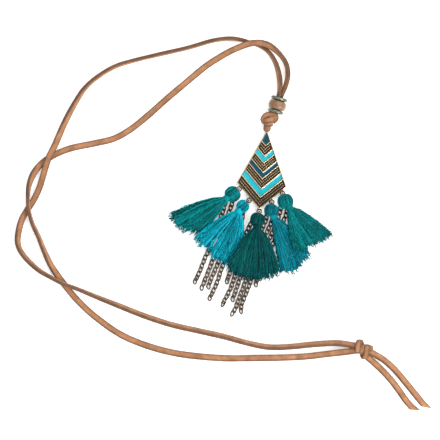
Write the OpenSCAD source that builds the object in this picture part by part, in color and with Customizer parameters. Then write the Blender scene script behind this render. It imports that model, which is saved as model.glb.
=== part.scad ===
// Tassel necklace laid flat: an enamelled kite plate knotted to a leather lace,
// with five thread tassels and ten short chains on jump rings along its foot.
// X runs right, Y up the photographed layout and Z up from the surface.

/* [Plate] */
// Width of the kite plate at its widest line
plate_w = 25; // [20:0.5:30]
// Height of the plate above its widest line
plate_top = 27.2; // [22:0.2:32]
// Height of the plate below its widest line
plate_foot = 12.3; // [10:0.1:15]
// Thickness of the plate over its rim
plate_t = 2.2; // [2:0.1:3]
// Width of the raised rim
rim_w = 0.6; // [0.4:0.05:0.9]
// Depth of the field below the rim
field_depth = 0.9; // [0.7:0.05:1.2]
// Width of the raised walls beside the enamel
wall_w = 0.35; // [0.25:0.05:0.5]
// Height of the enamel over the field
enamel_h = 0.55; // [0.4:0.05:0.65]
// Gap between the enamel and its walls
enamel_gap = 0.06; // [0.04:0.01:0.1]
// Width of a rope row of the cast relief
rope_w = 0.7; // [0.5:0.05:0.9]
// Height of a rope row over the field
rope_h = 0.6; // [0.4:0.05:0.65]
// Length of one twist of a rope row
rope_pitch = 1; // [0.8:0.05:1.4]
// Lean of the plate to the right as it lies, in degrees
plate_lean = 5.5; // [0:0.5:10]

/* [Eyes and jump rings] */
// Bore of the five eyes on the lower edges
eye_bore = 1.6; // [1.4:0.1:2]
// Wall around the bore of a lower eye
eye_wall = 0.55; // [0.4:0.05:0.8]
// Distance from the plate's edge to the bore of a lower eye
eye_gap = 0.5; // [0.4:0.05:0.8]
// Thickness of the eyes, whose tops are level with the rim
eye_t = 0.8; // [0.6:0.1:1]
// Bore of the top eye that holds the lace
top_bore = 2.7; // [2.5:0.1:3.2]
// Wall around the bore of the top eye
top_wall = 0.7; // [0.5:0.05:1]
// Distance from the plate's top corner to the middle of the top eye
top_lift = 1; // [0.6:0.1:1.4]
// Mean diameter of a jump ring
ring_d = 4.7; // [4.4:0.1:5.2]
// Wire of a jump ring
ring_wire = 0.7; // [0.5:0.05:0.8]

/* [Tassels] */
// Half the height of a tassel's wound head
head_h = 2.9; // [2.4:0.1:3.4]
// Height of the underside of the heads, over the chains
head_under = 3; // [2.9:0.1:3.4]
// Diameter of the bound neck between head and skirt
neck_d = 3.8; // [3:0.1:4.4]
// Thickness of a skirt at its fullest
skirt_t = 4.2; // [3:0.1:5]
// Thickness of a skirt at its cut tips
tip_t = 1.8; // [1.2:0.1:2.4]
// Locks in each full skirt
lock_count = 11; // [9:1:13]

/* [Chains] */
// Length of a chain link
link_len = 3.42; // [3.36:0.01:3.6]
// Width of a chain link
link_w = 2.7; // [2.5:0.05:2.9]
// Wire of the chain links
link_wire = 0.5; // [0.4:0.02:0.52]
// Mean diameter of the round link on the jump ring
first_link_d = 2.9; // [2.8:0.05:3]
// Slack left between the wires of two links
link_gap = 0.2; // [0.16:0.01:0.22]
// Roll of every second link out of the flat, in degrees
link_roll = 38; // [37:1:41]

/* [Bead and rings] */
// Diameter of the wooden bead
bead_d = 9; // [7.5:0.1:10]
// Length of the bead along its hole
bead_l = 4.4; // [3.5:0.1:5.5]
// Bore of the bead, for two laces side by side
bead_bore = 4.4; // [4.2:0.1:4.8]
// Diameter of the upper ring
upper_ring_d = 8.4; // [7.8:0.1:8.8]
// Diameter of the lower ring
lower_ring_d = 7.8; // [7.6:0.1:8.4]
// Thickness of both rings
ring_t = 1.7; // [1.4:0.1:2]
// Gap between the bead and each ring
stack_gap = 0.25; // [0.15:0.05:0.4]
// Lean of the bead and its rings, in degrees
stack_lean = 16; // [10:1:20]

/* [Lace] */
// Width of the flat leather lace
lace_w = 3; // [2.6:0.1:3.2]
// Thickness of the lace
lace_t = 1.5; // [1.2:0.1:1.5]
// Height of the two knots
knot_h = 5.4; // [4.8:0.1:6]

/* [Hidden] */

brass = "darkgoldenrod";
patina = "cadetblue";
leather = "peru";
turquoise = "darkturquoise";
dark_teal = "teal";
deep_green = "darkslategray";

// Plate geometry
half_w = plate_w / 2;
row_slope = plate_foot / half_w;
field_z = plate_t - field_depth;
sink = 0.2;
// Slant of a row's edges, which makes it taller than it is wide
slant = 1 / cos(atan(row_slope));

// Enamel rows, as shares of the plate's height from its foot: lower edge, upper edge
CHEVRONS = [[0.6, 0.68], [0.4, 0.475], [0.17, 0.265]];
// Lower edge of the top drop, as a share of the same height
DROP = 0.82;
// Line at the foot, and rope rows of the relief, as shares of the same height
FOOT = 0.03;
ROPES = [0.735, 0.775, 0.525, 0.56, 0.32, 0.355, 0.065, 0.1, 0.135];

function row_y(share) = share * (plate_top + plate_foot) - plate_foot;
function upper_share(inset) = 1 - inset * sqrt(1 / pow(half_w, 2) + 1 / pow(plate_top, 2));
function lower_share(inset) = 1 - inset * sqrt(1 / pow(half_w, 2) + 1 / pow(plate_foot, 2));
function side_corner(inset) = let (
    y = (upper_share(inset) - lower_share(inset)) / (1 / plate_top + 1 / plate_foot)
) [half_w * (upper_share(inset) - y / plate_top), y];
function kite(inset) = let (c = side_corner(inset)) [
    [0, plate_top * upper_share(inset)], c, [0, -plate_foot * lower_share(inset)], [-c.x, c.y]
];
function arm_end(y, inset) = let (
    x = (upper_share(inset) - y / plate_top) / (1 / half_w + row_slope / plate_top)
) [x, y + row_slope * x];
function flip(p) = [-p.x, p.y];
function vee(low, high, inset) = let (a = arm_end(high, inset), b = arm_end(low, inset)) [
    [0, high], a, b, [0, low], flip(b), flip(a)
];
// A rope row is a vee whose sides swell and narrow with each twist
rope_waist = 0.55;
function rope(y) = let (
    dx = rope_pitch / 2 / slant,
    n = floor(arm_end(y, rim_w).x / dx),
    up = rope_w / 2 * slant,
    side = function (s, d, i) [s * i * dx, y + row_slope * i * dx + d * up * (i % 2 == 0 ? 1 : rope_waist)]
) concat(
    [for (i = [0 : n]) side(1, 1, i)], [for (i = [n : -1 : 0]) side(1, -1, i)],
    [for (i = [1 : n]) side(-1, -1, i)], [for (i = [n : -1 : 1]) side(-1, 1, i)]
);

// Lower eyes: side of the plate, and place along that lower edge from the side corner
EYES = [[-1, 0.19], [-1, 0.62], [0, 1], [1, 0.6], [1, 0.2]];
eye_r = eye_bore / 2 + eye_wall;
eye_off = eye_bore / 2 + eye_gap;
eye_neck = eye_r * 1.2;
function eye_out(i) = let (s = EYES[i][0])
    s == 0 ? [0, -1] : [s * plate_foot, -half_w] / norm([plate_foot, half_w]);
function eye_local(i) = let (s = EYES[i][0], k = EYES[i][1])
    (s == 0 ? [0, -plate_foot] : [s * half_w * (1 - k), -plate_foot * k]) + eye_off * eye_out(i);
function turn(p, a) = [p.x * cos(a) - p.y * sin(a), p.x * sin(a) + p.y * cos(a)];
function eye_at(i) = turn(eye_local(i), -plate_lean);
eye_z = plate_t - eye_t / 2;
top_eye_r = top_bore / 2 + top_wall;
top_eye_y = plate_top + top_lift;
wall_drop = 0.1;

module plate_place() rotate([0, 0, -plate_lean]) children();

module wall_row(share, side) let (y = row_y(share), h = wall_w * slant)
    polygon(side < 0 ? vee(y - h, y, rim_w / 2) : vee(y, y + h, rim_w / 2));
module bores(r_low, r_top) {
    for (i = [0 : 4]) translate([eye_local(i).x, eye_local(i).y, -1])
        cylinder(r = r_low, h = plate_t + 2, $fn = 32);
    translate([0, top_eye_y, -1]) cylinder(r = r_top, h = plate_t + 2, $fn = 40);
}
module pendant_plate() color(brass) plate_place() difference() {
    union() {
        linear_extrude(field_z) polygon(kite(0));
        linear_extrude(plate_t) difference() {
            polygon(kite(0));
            polygon(kite(rim_w));
        }
        translate([0, 0, field_z - sink]) linear_extrude(rope_h + sink)
            for (s = ROPES) polygon(rope(row_y(s)));
        translate([0, 0, field_z - sink]) linear_extrude(field_depth - wall_drop + sink) {
            for (c = CHEVRONS) {
                wall_row(c[0], -1);
                wall_row(c[1], 1);
            }
            wall_row(DROP, -1);
            wall_row(FOOT, 1);
        }
        for (i = [0 : 4]) translate([eye_local(i).x, eye_local(i).y, plate_t - eye_t]) {
            cylinder(r = eye_r, h = eye_t, $fn = 40);
            rotate([0, 0, atan2(eye_out(i).y, eye_out(i).x)])
                translate([-eye_off - rim_w / 2, -eye_neck / 2, 0])
                    cube([eye_off + rim_w / 2, eye_neck, eye_t]);
        }
        translate([0, top_eye_y, plate_t - eye_t]) cylinder(r = top_eye_r, h = eye_t, $fn = 48);
    }
    bores(eye_bore / 2, top_bore / 2);
}

module enamel(points) plate_place() translate([0, 0, field_z + enamel_gap])
    linear_extrude(enamel_h) polygon(points);
module enamel_drop() color(dark_teal) enamel(let (
    low = row_y(DROP) + enamel_gap * slant,
    b = arm_end(low, rim_w + enamel_gap)
) [[0, kite(rim_w + enamel_gap)[0].y], b, [0, low], flip(b)]);
module enamel_chevron(i) color(i == 1 ? dark_teal : turquoise) enamel(vee(
    row_y(CHEVRONS[i][0]) + enamel_gap * slant,
    row_y(CHEVRONS[i][1]) - enamel_gap * slant,
    rim_w + enamel_gap));

// Jump rings stand upright, through an eye and the top of a tassel's head
ring_r = ring_d / 2;
ring_z = ring_r + ring_wire / 2 + 0.02;
ring_u = sqrt(pow(ring_r, 2) - pow(ring_z - eye_z, 2));
// Tassels: aim of the head from its eye, radius of the head, aim of the skirt
TASSELS = [[218, 3.9, 217], [223, 3.2, 236], [258, 3.7, 264], [265, 3.5, 290], [287, 3.9, 302]];
head_reach = ring_u + ring_r * 0.85;
head_z = head_under + head_h;
// Half length and half width of each of a head's two lobes, and their shift, as shares of its radius
LOBE = [0.88, 0.72, 0.28];
// Where the neck is bound, as a share of the head's radius, and how far the skirt starts above its underside
neck_share = 0.85;
neck_lift = 0.3;
// Room around the jump ring in a head
ring_room = 0.15;
function along(p, a, d) = [p.x + d * cos(a), p.y + d * sin(a)];
function head_at(i) = along(eye_at(i), TASSELS[i][0], head_reach);

module jump_ring(i) color(brass) translate([eye_at(i).x, eye_at(i).y, 0]) rotate([0, 0, TASSELS[i][0]])
    translate([ring_u, 0, ring_z]) rotate([90, 0, 0])
        rotate_extrude($fn = 48) translate([ring_r, 0]) circle(d = ring_wire, $fn = 20);

// Lobes of each skirt. Columns: tassel, aims of its two sides, then three values each for one side,
// the middle and the other side: reach of its tips, rest height of the tips, fullness as a share of
// the fullest, and rest height near the head
LOBES = [
    [0, [198, 231], [34, 32.5, 24], [0.2, 0.2, 0.6], [0.55, 1, 0.5], [2.3, 2.3, 2.3]],
    [1, [216, 229], [30, 30.5, 28], [2.3, 2.3, 2.3], [0.5, 0.8, 0.6], [2.6, 2.5, 2.4]],
    [1, [237, 263], [30, 31, 30], [2.3, 2.3, 2.3], [0.6, 0.9, 0.4], [2.4, 2.4, 2.4]],
    [2, [239, 254], [29.5, 30.5, 30.8], [4.6, 4.5, 3.9], [0.45, 0.55, 0.7], [4.6, 4.5, 4.4]],
    [2, [254, 292], [30.8, 31.2, 30], [3.7, 2.3, 4.4], [0.7, 1, 0.5], [4.4, 4.2, 4.4]],
    [3, [280, 298], [31.5, 34, 32], [2.3, 0.8, 0.2], [0.4, 0.7, 0.4], [2.4, 2.3, 2.2]],
    [3, [300, 311], [32, 31.5, 31], [0.2, 0.2, 0.2], [0.4, 0.42, 0.4], [2.2, 2.2, 2.1]],
    [4, [283, 296], [27, 26.5, 26.5], [3.8, 3.3, 2.8], [0.45, 0.6, 0.75], [4.3, 3.9, 3.4]],
    [4, [296, 324], [26.5, 28, 30], [2.2, 0.4, 0.2], [0.75, 1, 0.55], [3.3, 2.4, 2.1]]
];
// Stations of a lock. Columns: share of its reach, share of its spread, share of its thickness
STATIONS = [[0, 0, 1], [0.25, 0.42, 1], [0.62, 0.76, 0.75], [1, 1, 1]];
// Spread of a full skirt in degrees, reach of every second lock, and clear height over the chains
full_span = 44;
short_lock = 0.96;
over_chain = 2.3;
function blend3(v, f) = v[0] + (4 * v[1] - 3 * v[0] - v[2]) * f + (2 * v[0] - 4 * v[1] + 2 * v[2]) * f * f;
function mix(a, b, f) = a + (b - a) * f;
// Rows of one lobe. Columns: aim, reach, tip rest, near rest, width, fullness
function lock_rows(lobe) = let (
    l = LOBES[lobe],
    span = l[1][1] - l[1][0],
    n = max(3, round(lock_count * span / full_span))
) [for (k = [0 : n - 1]) let (f = (k + 0.5) / n, reach = blend3(l[2], f)) [
    l[1][0] + span * f, reach * (k % 2 == 0 ? 1 : short_lock), blend3(l[3], f), blend3(l[5], f),
    reach * span * PI / 180 / n, blend3(l[4], f)
]];
// A lock's point at a station: along and across the skirt, middle height, width, thickness
function lock_point(i, row, s) = let (
    a = row[0] - TASSELS[i][2],
    neck = TASSELS[i][1] * neck_share,
    u = mix(neck, row[1] * cos(a), STATIONS[s][0]),
    v = row[1] * sin(a) * STATIONS[s][1],
    full = max(tip_t, skirt_t * row[5]),
    t = [neck_d * 0.8, full, max(tip_t, full * STATIONS[2][2]), tip_t][s],
    rest = [head_z - neck_d / 2 + neck_lift, row[3], (row[2] + max(over_chain, row[2])) / 2, row[2]][s]
) [u, v, rest + t / 2, s == 0 ? neck_d / 2 : row[4] * (0.33 + 1.1 * STATIONS[s][1]), t];

module lock_end(p) translate([p[0], p[1], p[2]]) scale([1, p[3], p[4]]) sphere(d = 1, $fn = 6);
module lock(i, row) for (s = [0 : 2]) hull() {
    lock_end(lock_point(i, row, s));
    lock_end(lock_point(i, row, s + 1));
}
module tassel(i) {
    r = TASSELS[i][1];
    hue = i == 1 || i == 3 ? turquoise : deep_green;
    color(hue) translate([head_at(i).x, head_at(i).y, 0]) difference() {
        union() {
            rotate([0, 0, TASSELS[i][0]]) for (m = [-1, 1]) translate([0, m * r * LOBE[2], head_z])
                scale([LOBE[0] * r, LOBE[1] * r, head_h]) sphere(1, $fn = 12);
            rotate([0, 0, TASSELS[i][2]]) {
                hull() for (u = [0, r * neck_share]) translate([u, 0, head_z]) sphere(d = neck_d, $fn = 10);
                for (l = [0 : len(LOBES) - 1]) if (LOBES[l][0] == i)
                    for (row = lock_rows(l)) lock(i, row);
            }
        }
        rotate([0, 0, TASSELS[i][0]]) translate([ring_u - head_reach, 0, ring_z]) rotate([90, 0, 0])
            ring_slot();
    }
}
// Room for the jump ring: a ring channel, and a slot over its near half that parts the head's top
module ring_slot() {
    slot = ring_wire + 2 * ring_room;
    rotate_extrude($fn = 32) translate([ring_r, 0]) square([slot, slot], center = true);
    translate([-ring_r, 0, -slot / 2]) cube([ring_r * 1.75, head_z + head_h, slot]);
}

// Chains. Way points of each chain on the surface, chosen by hand, after its first link
WAYS = [
    [[-18.6, -11], [-20.2, -15.5], [-23.2, -24.5], [-26.2, -32], [-28.5, -37], [-31, -43.5],
        [-33.5, -48.7]],
    [[-15.2, -10.5], [-17.1, -16], [-20.4, -26], [-24.6, -38], [-27.3, -45], [-30.5, -52.9]],
    [[-13.2, -18], [-16.2, -26], [-20.9, -37], [-23.2, -42.5], [-25.7, -48], [-26.8, -51.6]],
    [[-10.2, -18.5], [-13, -26], [-17.7, -37], [-20.3, -42.5], [-21.6, -47], [-23.6, -52], [-26.2, -57.2]],
    [[-6.4, -21.4], [-9.3, -28], [-13.3, -37], [-15.7, -43.5], [-17.5, -48.7]],
    [[-3.3, -21.5], [-6.1, -28], [-10.1, -37], [-12.7, -43.6], [-15.4, -51.5], [-19.8, -60.4]],
    [[2.2, -17.6], [-0.6, -24], [-4.9, -32.5], [-9.8, -44], [-12.6, -52], [-14.7, -57.8]],
    [[5.4, -17.6], [2.5, -24], [-1.7, -33], [-6.7, -44.5], [-9, -51], [-12, -58.6], [-13.3, -62.4],
        [-15.6, -65.7]],
    [[9.2, -13.8], [7, -20], [2.6, -30], [-4, -44.5], [-6.4, -51], [-8.4, -56], [-10, -60], [-10.4, -64.2]],
    [[12.3, -14.8], [9.8, -20.5], [5.4, -30], [-0.4, -43], [-2.3, -47.6], [-3, -50.4]]
];
// Chain starts. Columns: jump ring, angle down its far side, lead of the chain, height after the lead
STARTS = [
    [0, 43, 209, 1], [0, 17, 275, 1.8], [1, 39, 212, 1], [1, 13, 277, 1.85], [2, 48, 210, 1.05],
    [2, 16, 273, 1.7], [3, 45, 228, 1], [3, 14, 286, 1.75], [4, 50, 232, 1.05], [4, 16, 288, 1.5]
];
pitch = link_len - 2 * link_wire - link_gap;
rest_z = (link_w - link_wire) / 2 * sin(link_roll) + link_wire / 2 + 0.07;
function ring_point(i, a) = let (p = along(eye_at(i), TASSELS[i][0], ring_u + ring_r * cos(a)))
    [p.x, p.y, ring_z - ring_r * sin(a)];
function chain_points(k) = let (
    s = STARTS[k],
    p = ring_point(s[0], s[1]),
    q = along(p, s[2], link_len)
) concat([p, [q.x, q.y, s[3]]], [for (w = WAYS[k]) [w.x, w.y, rest_z]]);
// Smooth run through a chain's points, eight steps to each stretch
function smooth(a, b, c, d, t) = 0.5 * (2 * b + (c - a) * t + (2 * a - 5 * b + 4 * c - d) * t * t
    + (3 * b - a - 3 * c + d) * t * t * t);
function run(p) = let (n = len(p) - 1) concat([for (i = [0 : n - 1], j = [0 : 7])
    smooth(i == 0 ? 2 * p[0] - p[1] : p[i - 1], p[i], p[i + 1],
        i == n - 1 ? 2 * p[n] - p[n - 1] : p[i + 2], j / 8)
], [p[n]]);
function lengths(p) = [
    for (i = 0, s = 0; i < len(p); s = s + (i + 1 < len(p) ? norm(p[i + 1] - p[i]) : 0), i = i + 1) s
];
function at_length(p, l, s) = [for (c = [0 : 2]) lookup(s, [for (i = [0 : len(p) - 1]) [l[i], p[i][c]]])];

module wire_arc(r, wire) rotate_extrude(angle = 180, $fn = 32) translate([r, 0]) circle(d = wire, $fn = 16);
module oval_link() {
    r = (link_w - link_wire) / 2;
    s = (link_len - link_w) / 2;
    for (m = [-1, 1]) {
        translate([m * s, 0, 0]) rotate([0, 0, m * 90 - 180]) wire_arc(r, link_wire);
        translate([-s, m * r, 0]) rotate([0, 90, 0]) cylinder(d = link_wire, h = 2 * s, $fn = 16);
    }
}
module link_place(a, b, roll) {
    d = b - a;
    translate((a + b) / 2) rotate([0, -atan2(d.z, norm([d.x, d.y])), atan2(d.y, d.x)])
        rotate([roll, 0, 0]) children();
}
// Odd and even chains: shift of the round link along its chain, its roll, and the next link's roll
FIRST_LINKS = [[0.2, -25, 42], [0.6, -20, 40]];
// A round link holds the jump ring, and every oval link then follows at one pitch
module chain(k) color(brass) {
    path = run(chain_points(k));
    l = lengths(path);
    first = FIRST_LINKS[k % 2];
    second = first[0] + (first_link_d + link_len - link_wire * 3) / 2 - link_gap;
    count = floor((l[len(l) - 1] - second) / pitch);
    link_place(at_length(path, l, 0), at_length(path, l, 2 * first[0]), first[1])
        rotate_extrude($fn = 32) translate([first_link_d / 2, 0]) circle(d = link_wire, $fn = 16);
    for (j = [0 : count]) let (s = second + j * pitch)
        link_place(at_length(path, l, s - pitch / 2), at_length(path, l, s + pitch / 2),
            j == 0 ? first[2] : j % 2 == 0 ? link_roll : -link_roll) oval_link();
}

// Bead and rings stand in a row on the doubled lace
STACK = [7.8, 39.6];
stack_z = bead_d / 2;
function stack_point(d, side, z) = let (p = turn([side, d], -stack_lean)) [STACK.x + p.x, STACK.y + p.y, z];
ring_place = bead_l / 2 + stack_gap + ring_t / 2;
module stack_place(d) translate(stack_point(d, 0, stack_z))
    rotate([0, 0, -stack_lean]) rotate([-90, 0, 0]) children();
module stack_ring(d) rotate_extrude($fn = 64) translate([(d - ring_t) / 2, 0]) circle(d = ring_t, $fn = 24);
module lower_ring() color(patina) stack_place(-ring_place) stack_ring(lower_ring_d);
module upper_ring() color(patina) stack_place(ring_place) stack_ring(upper_ring_d);
module bead() color("tan") stack_place(0) rotate_extrude($fn = 64) difference() {
    intersection() {
        translate([0, -bead_l / 2]) square([bead_d / 2, bead_l]);
        translate([bead_d / 2 - bead_l * 0.75, 0]) circle(r = bead_l * 0.75, $fn = 48);
    }
    translate([-1, -bead_l]) square([bead_bore / 2 + 1, bead_l * 2]);
}

// Lace routes, chosen by hand. Columns: x, y, lift off the surface, roll in degrees
side = lace_t / 2 + 0.06;
function stack_rows(s) = [for (d = [-4.2, 0, 4.9])
    concat(stack_point(d, s, stack_z - lace_w / 2 - (d < 0 ? 0.2 : 0)), [90])];
LACE_LEFT = concat(stack_rows(-side), [
    [8.9, 49, 2.1, 90], [8.6, 54.5, 0.6, 90], [6.7, 61.2, 0, 90], [2.6, 67, 0, 90], [-4.4, 70.6, 0, 90],
    [-14, 73, 0, 90], [-24, 72.1, 0, 90], [-37, 68.4, 0, 90], [-50, 65.4, 0, 90], [-63, 62.3, 0, 90],
    [-73, 59.2, 0, 90], [-81, 54.6, 0, 90], [-88, 48.7, 0, 80], [-93.5, 40.5, 0, 60],
    [-98.5, 31, 0, 40], [-103, 20.5, 1.3, 15], [-106.4, 13.4, 2, 0], [-108.8, 6, 1.2, 0],
    [-111, -1, 0, 0], [-113.6, -6.8, 0, 0], [-116.9, -12.1, 0, 0], [-119.6, -16.6, 0, 15],
    [-121.4, -22.5, 0, 35], [-121.9, -29.5, 0, 60], [-119, -35.5, 0, 70], [-112, -42.4, 0.4, 85],
    [-105.5, -46.3, 1.4, 90], [-99, -49.6, 2, 90], [-92.5, -52, 1.4, 90], [-84, -55.6, 0.1, 85],
    [-71, -60.8, 0, 75], [-58, -65.9, 0, 75], [-45, -70.1, 0, 75], [-31, -73.3, 0, 75], [-19, -76, 0, 75],
    [-6.5, -79.4, 0, 80], [4, -81.3, 0, 80], [15, -81, 0, 75], [27, -79.8, 0, 60], [38, -79.3, 0.5, 50],
    [46.2, -80.5, 1.2, 40]
]);
LACE_RIGHT = concat(stack_rows(side), [
    [12, 49, 2.1, 90], [13.1, 54.8, 0.6, 90], [12, 60.6, 0, 90], [8.2, 66, 0.6, 70], [2.5, 69.9, 2.8, 25],
    [-4.4, 70.6, 3.6, 0], [-11.7, 68.4, 2.6, 0], [-19, 64.9, 0.6, 5], [-28, 59.2, 0, 5], [-38.4, 50.6, 0, 0],
    [-47.4, 43, 0, 0], [-56.4, 35, 0, 0], [-65.4, 27.8, 0, 0], [-74, 23, 0, 0], [-84, 20.6, 0, 0],
    [-95, 18.3, 0, 0], [-103, 15.2, 0, 0], [-109.6, 11, 0, 0], [-113.8, 6, 0.2, 30],
    [-116.2, 0, 0.7, 65], [-116.8, -6, 1.5, 90], [-116.4, -12.2, 1.8, 90], [-114.6, -19.4, 0.7, 90],
    [-111.6, -26, 0, 80], [-108.6, -33.4, 0, 55], [-105, -41, 0, 25], [-99, -49.6, 0, 0],
    [-92.4, -57.6, 0, 15], [-83.4, -66, 0, 25], [-71, -74.8, 0, 30], [-58, -80.4, 0, 30], [-45, -84, 0, 30],
    [-32, -85.9, 0, 25], [-18, -86.9, 0, 25], [-4, -86.8, 0, 20], [10, -86.6, 0, 20], [22, -86, 0, 20],
    [34, -84.6, 0.2, 20], [45.6, -83.2, 1.1, 25]
]);
TAIL_UPPER = [
    [54.7, -84.3, 1.4, 30], [59.2, -87.4, 0.6, 25], [65.5, -92, 0.1, 25], [72, -99.5, 0, 20],
    [78.5, -107, 0, 15], [82.4, -111.2, 0, 10]
];
TAIL_LOWER = [
    [54.2, -87.7, 0.9, 20], [58, -90.6, 0.3, 20], [64.5, -96, 0.05, 15], [70.5, -104, 0, 10],
    [75, -110.4, 0, 5], [77.4, -113, 0, 5]
];
// Corners of the lace's section, as shares of half its width and half its thickness
SECTION = [[1, 0.5], [0.62, 1], [-0.62, 1], [-1, 0.5], [-1, -0.5], [-0.62, -1], [0.62, -1], [1, -0.5]];
function unit(v) = v / norm(v);
// Middle of the lace at a row, which clears the surface by the section's half height at that roll
function lace_point(r) = [r[0], r[1], r[2] + 0.02
    + max([for (c = SECTION) c.x * lace_w / 2 * sin(r[3]) + c.y * lace_t / 2 * cos(r[3])])];
function lace_ring(route, i, cut) = let (
    n = len(route) - 1,
    t = unit(lace_point(route[min(i + 1, n)]) - lace_point(route[max(i - 1, 0)])),
    across = unit([t.y, -t.x, 0]),
    up = cross(across, t),
    a = route[i][3]
) [for (c = SECTION) let (w = -c.x * lace_w / 2, h = c.y * lace_t / 2)
    lace_point(route[i]) + across * (w * cos(a) - h * sin(a)) + up * (w * sin(a) + h * cos(a))
        - (i == n ? t * cut * c.x : [0, 0, 0])];

// One solid through a list of rings of the section's corners, closed into a band or with two flat ends
module sweep(rings, closed = false) {
    n = len(rings);
    m = len(SECTION);
    corner = function (i, j) (i % n) * m + j % m;
    polyhedron(
        points = [for (r = rings) each r],
        faces = concat(
            [for (i = [0 : n - (closed ? 1 : 2)], j = [0 : m - 1])
                each [[corner(i, j), corner(i + 1, j), corner(i, j + 1)],
                    [corner(i, j + 1), corner(i + 1, j), corner(i + 1, j + 1)]]],
            closed ? [] : [[for (j = [0 : m - 1]) j], [for (j = [m - 1 : -1 : 0]) (n - 1) * m + j]]
        ));
}
module lace(route, cut = 0) sweep([for (i = [0 : len(route) - 1]) lace_ring(route, i, cut)]);
module lace_left() color(leather) lace(LACE_LEFT);
module lace_right() color(leather) lace(LACE_RIGHT);
// Length of the slanting cut at the end of each tail
tail_cut = 2.2;
module tail_upper() color(leather) lace(TAIL_UPPER, tail_cut);
module tail_lower() color(leather) lace(TAIL_LOWER, tail_cut);

// Knots: turns of the flat lace around rounded cores. Columns of a turn: x, y, aim, half length and
// width over the lace's. Columns of a core: x, y, aim, half length, half width, height below the knot's
PENDANT_TURNS = [[4, 34, -14, 3.7, 1], [3.25, 32.2, 11, 4.2, 0.95]];
PENDANT_CORES = [[3.7, 32.9, -8, 3.2, 2.3, 0.4]];
END_TURNS = [[48.5, -80.7, 88, 3.7, 0.95], [51.6, -84.1, 80, 4.2, 1.15]];
END_CORES = [[50.4, -82.6, -40, 3.4, 2.6, 0.4], [53.1, -81.6, 0, 1.4, 1.6, 0.9]];
// Loop through the top eye, from its middle: along the plate, and height. The lace is pinched there
LOOP = [[4.2, 3.4], [2.4, 3.15], [0.7, 2.85], [0.02, 1.8], [0.5, 0.8], [2.3, 0.62], [4.2, 1.7]];
loop_w = 2.1;
loop_t = 1.1;
// Ring of a strip that runs in an upright plane, from its place and its direction there
function strip_ring(p, d, w, t) = [for (c = SECTION)
    [p.x - c.y * t / 2 * d.y, c.x * w / 2, p.y + c.y * t / 2 * d.x]];
module lace_turn(row) let (a = row[3] - lace_t / 2, b = (knot_h - lace_t) / 2)
    translate([row[0], row[1], knot_h / 2]) rotate([0, 0, row[2]]) sweep([for (k = [0 : 24 : 336])
        strip_ring([a * cos(k), b * sin(k)], unit([-a * sin(k), b * cos(k)]), lace_w * row[4], lace_t)
    ], closed = true);
module knot(turns, cores) {
    for (row = turns) lace_turn(row);
    for (row = cores) translate([row[0], row[1], knot_h / 2]) rotate([0, 0, row[2]])
        scale([row[3], row[4], knot_h / 2 - row[5]]) sphere(1, $fn = 10);
}
module pendant_knot() color(leather) {
    knot(PENDANT_TURNS, PENDANT_CORES);
    plate_place() translate([0, top_eye_y, 0]) rotate([0, 0, 90]) sweep([for (i = [0 : len(LOOP) - 1])
        strip_ring(LOOP[i], unit(LOOP[min(i + 1, len(LOOP) - 1)] - LOOP[max(i - 1, 0)]), loop_w, loop_t)]);
}
module end_knot() color(leather) knot(END_TURNS, END_CORES);

pendant_plate();
enamel_drop();
enamel_chevron(0);  // enamel_chevron_1
enamel_chevron(1);  // enamel_chevron_2
enamel_chevron(2);  // enamel_chevron_3
jump_ring(0);  // jump_ring_1
jump_ring(1);  // jump_ring_2
jump_ring(2);  // jump_ring_3
jump_ring(3);  // jump_ring_4
jump_ring(4);  // jump_ring_5
tassel(0);  // tassel_1
tassel(1);  // tassel_2
tassel(2);  // tassel_3
tassel(3);  // tassel_4
tassel(4);  // tassel_5
chain(0);  // chain_1
chain(1);  // chain_2
chain(2);  // chain_3
chain(3);  // chain_4
chain(4);  // chain_5
chain(5);  // chain_6
chain(6);  // chain_7
chain(7);  // chain_8
chain(8);  // chain_9
chain(9);  // chain_10
pendant_knot();
lower_ring();
bead();
upper_ring();
lace_left();
lace_right();
end_knot();
tail_upper();
tail_lower();
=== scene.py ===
"""Looks of the tassel necklace, laid out as a Blender add-on and run as a script.

Every length is in metres and every angle in degrees, unless a name says otherwise. The packed model
is loaded as a fixed frame, and each piece here is built where its solid lies.
"""

import math

import bmesh
import bpy
import numpy as np
from bpy.props import FloatProperty, FloatVectorProperty, IntProperty, PointerProperty
from mathutils import Euler, Matrix, Vector, noise


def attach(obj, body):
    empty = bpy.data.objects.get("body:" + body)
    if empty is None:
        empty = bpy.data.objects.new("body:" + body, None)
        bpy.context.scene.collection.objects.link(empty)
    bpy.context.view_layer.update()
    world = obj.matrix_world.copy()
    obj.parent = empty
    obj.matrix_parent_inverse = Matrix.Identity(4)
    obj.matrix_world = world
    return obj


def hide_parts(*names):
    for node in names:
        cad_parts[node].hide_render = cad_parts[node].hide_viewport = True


bl_info = {
    "name": "Tassel Necklace",
    "version": (1, 0, 0),
    "blender": (4, 5, 0),
    "location": "3D View > Sidebar > Necklace",
    "description": "Dresses a packed tassel necklace: plate, enamel, laces, knots, tassels and chains",
    "category": "Object",
}

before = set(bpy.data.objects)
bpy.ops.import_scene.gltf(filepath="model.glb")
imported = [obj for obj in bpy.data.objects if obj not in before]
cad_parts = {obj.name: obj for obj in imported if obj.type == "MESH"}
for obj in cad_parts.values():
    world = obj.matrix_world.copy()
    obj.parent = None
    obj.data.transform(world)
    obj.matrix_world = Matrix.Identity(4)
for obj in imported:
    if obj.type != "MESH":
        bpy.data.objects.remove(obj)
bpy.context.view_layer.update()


# Sizes and colours that a user would change


def length(name, description, default):
    """A length property in metres."""
    return FloatProperty(
        name=name, description=description, default=default, min=0, precision=5, unit="LENGTH", subtype="DISTANCE"
    )


def colour(name, description, default):
    """A linear colour property."""
    return FloatVectorProperty(
        name=name, description=description, default=(*default, 1), size=4, min=0, max=1, subtype="COLOR"
    )


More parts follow.
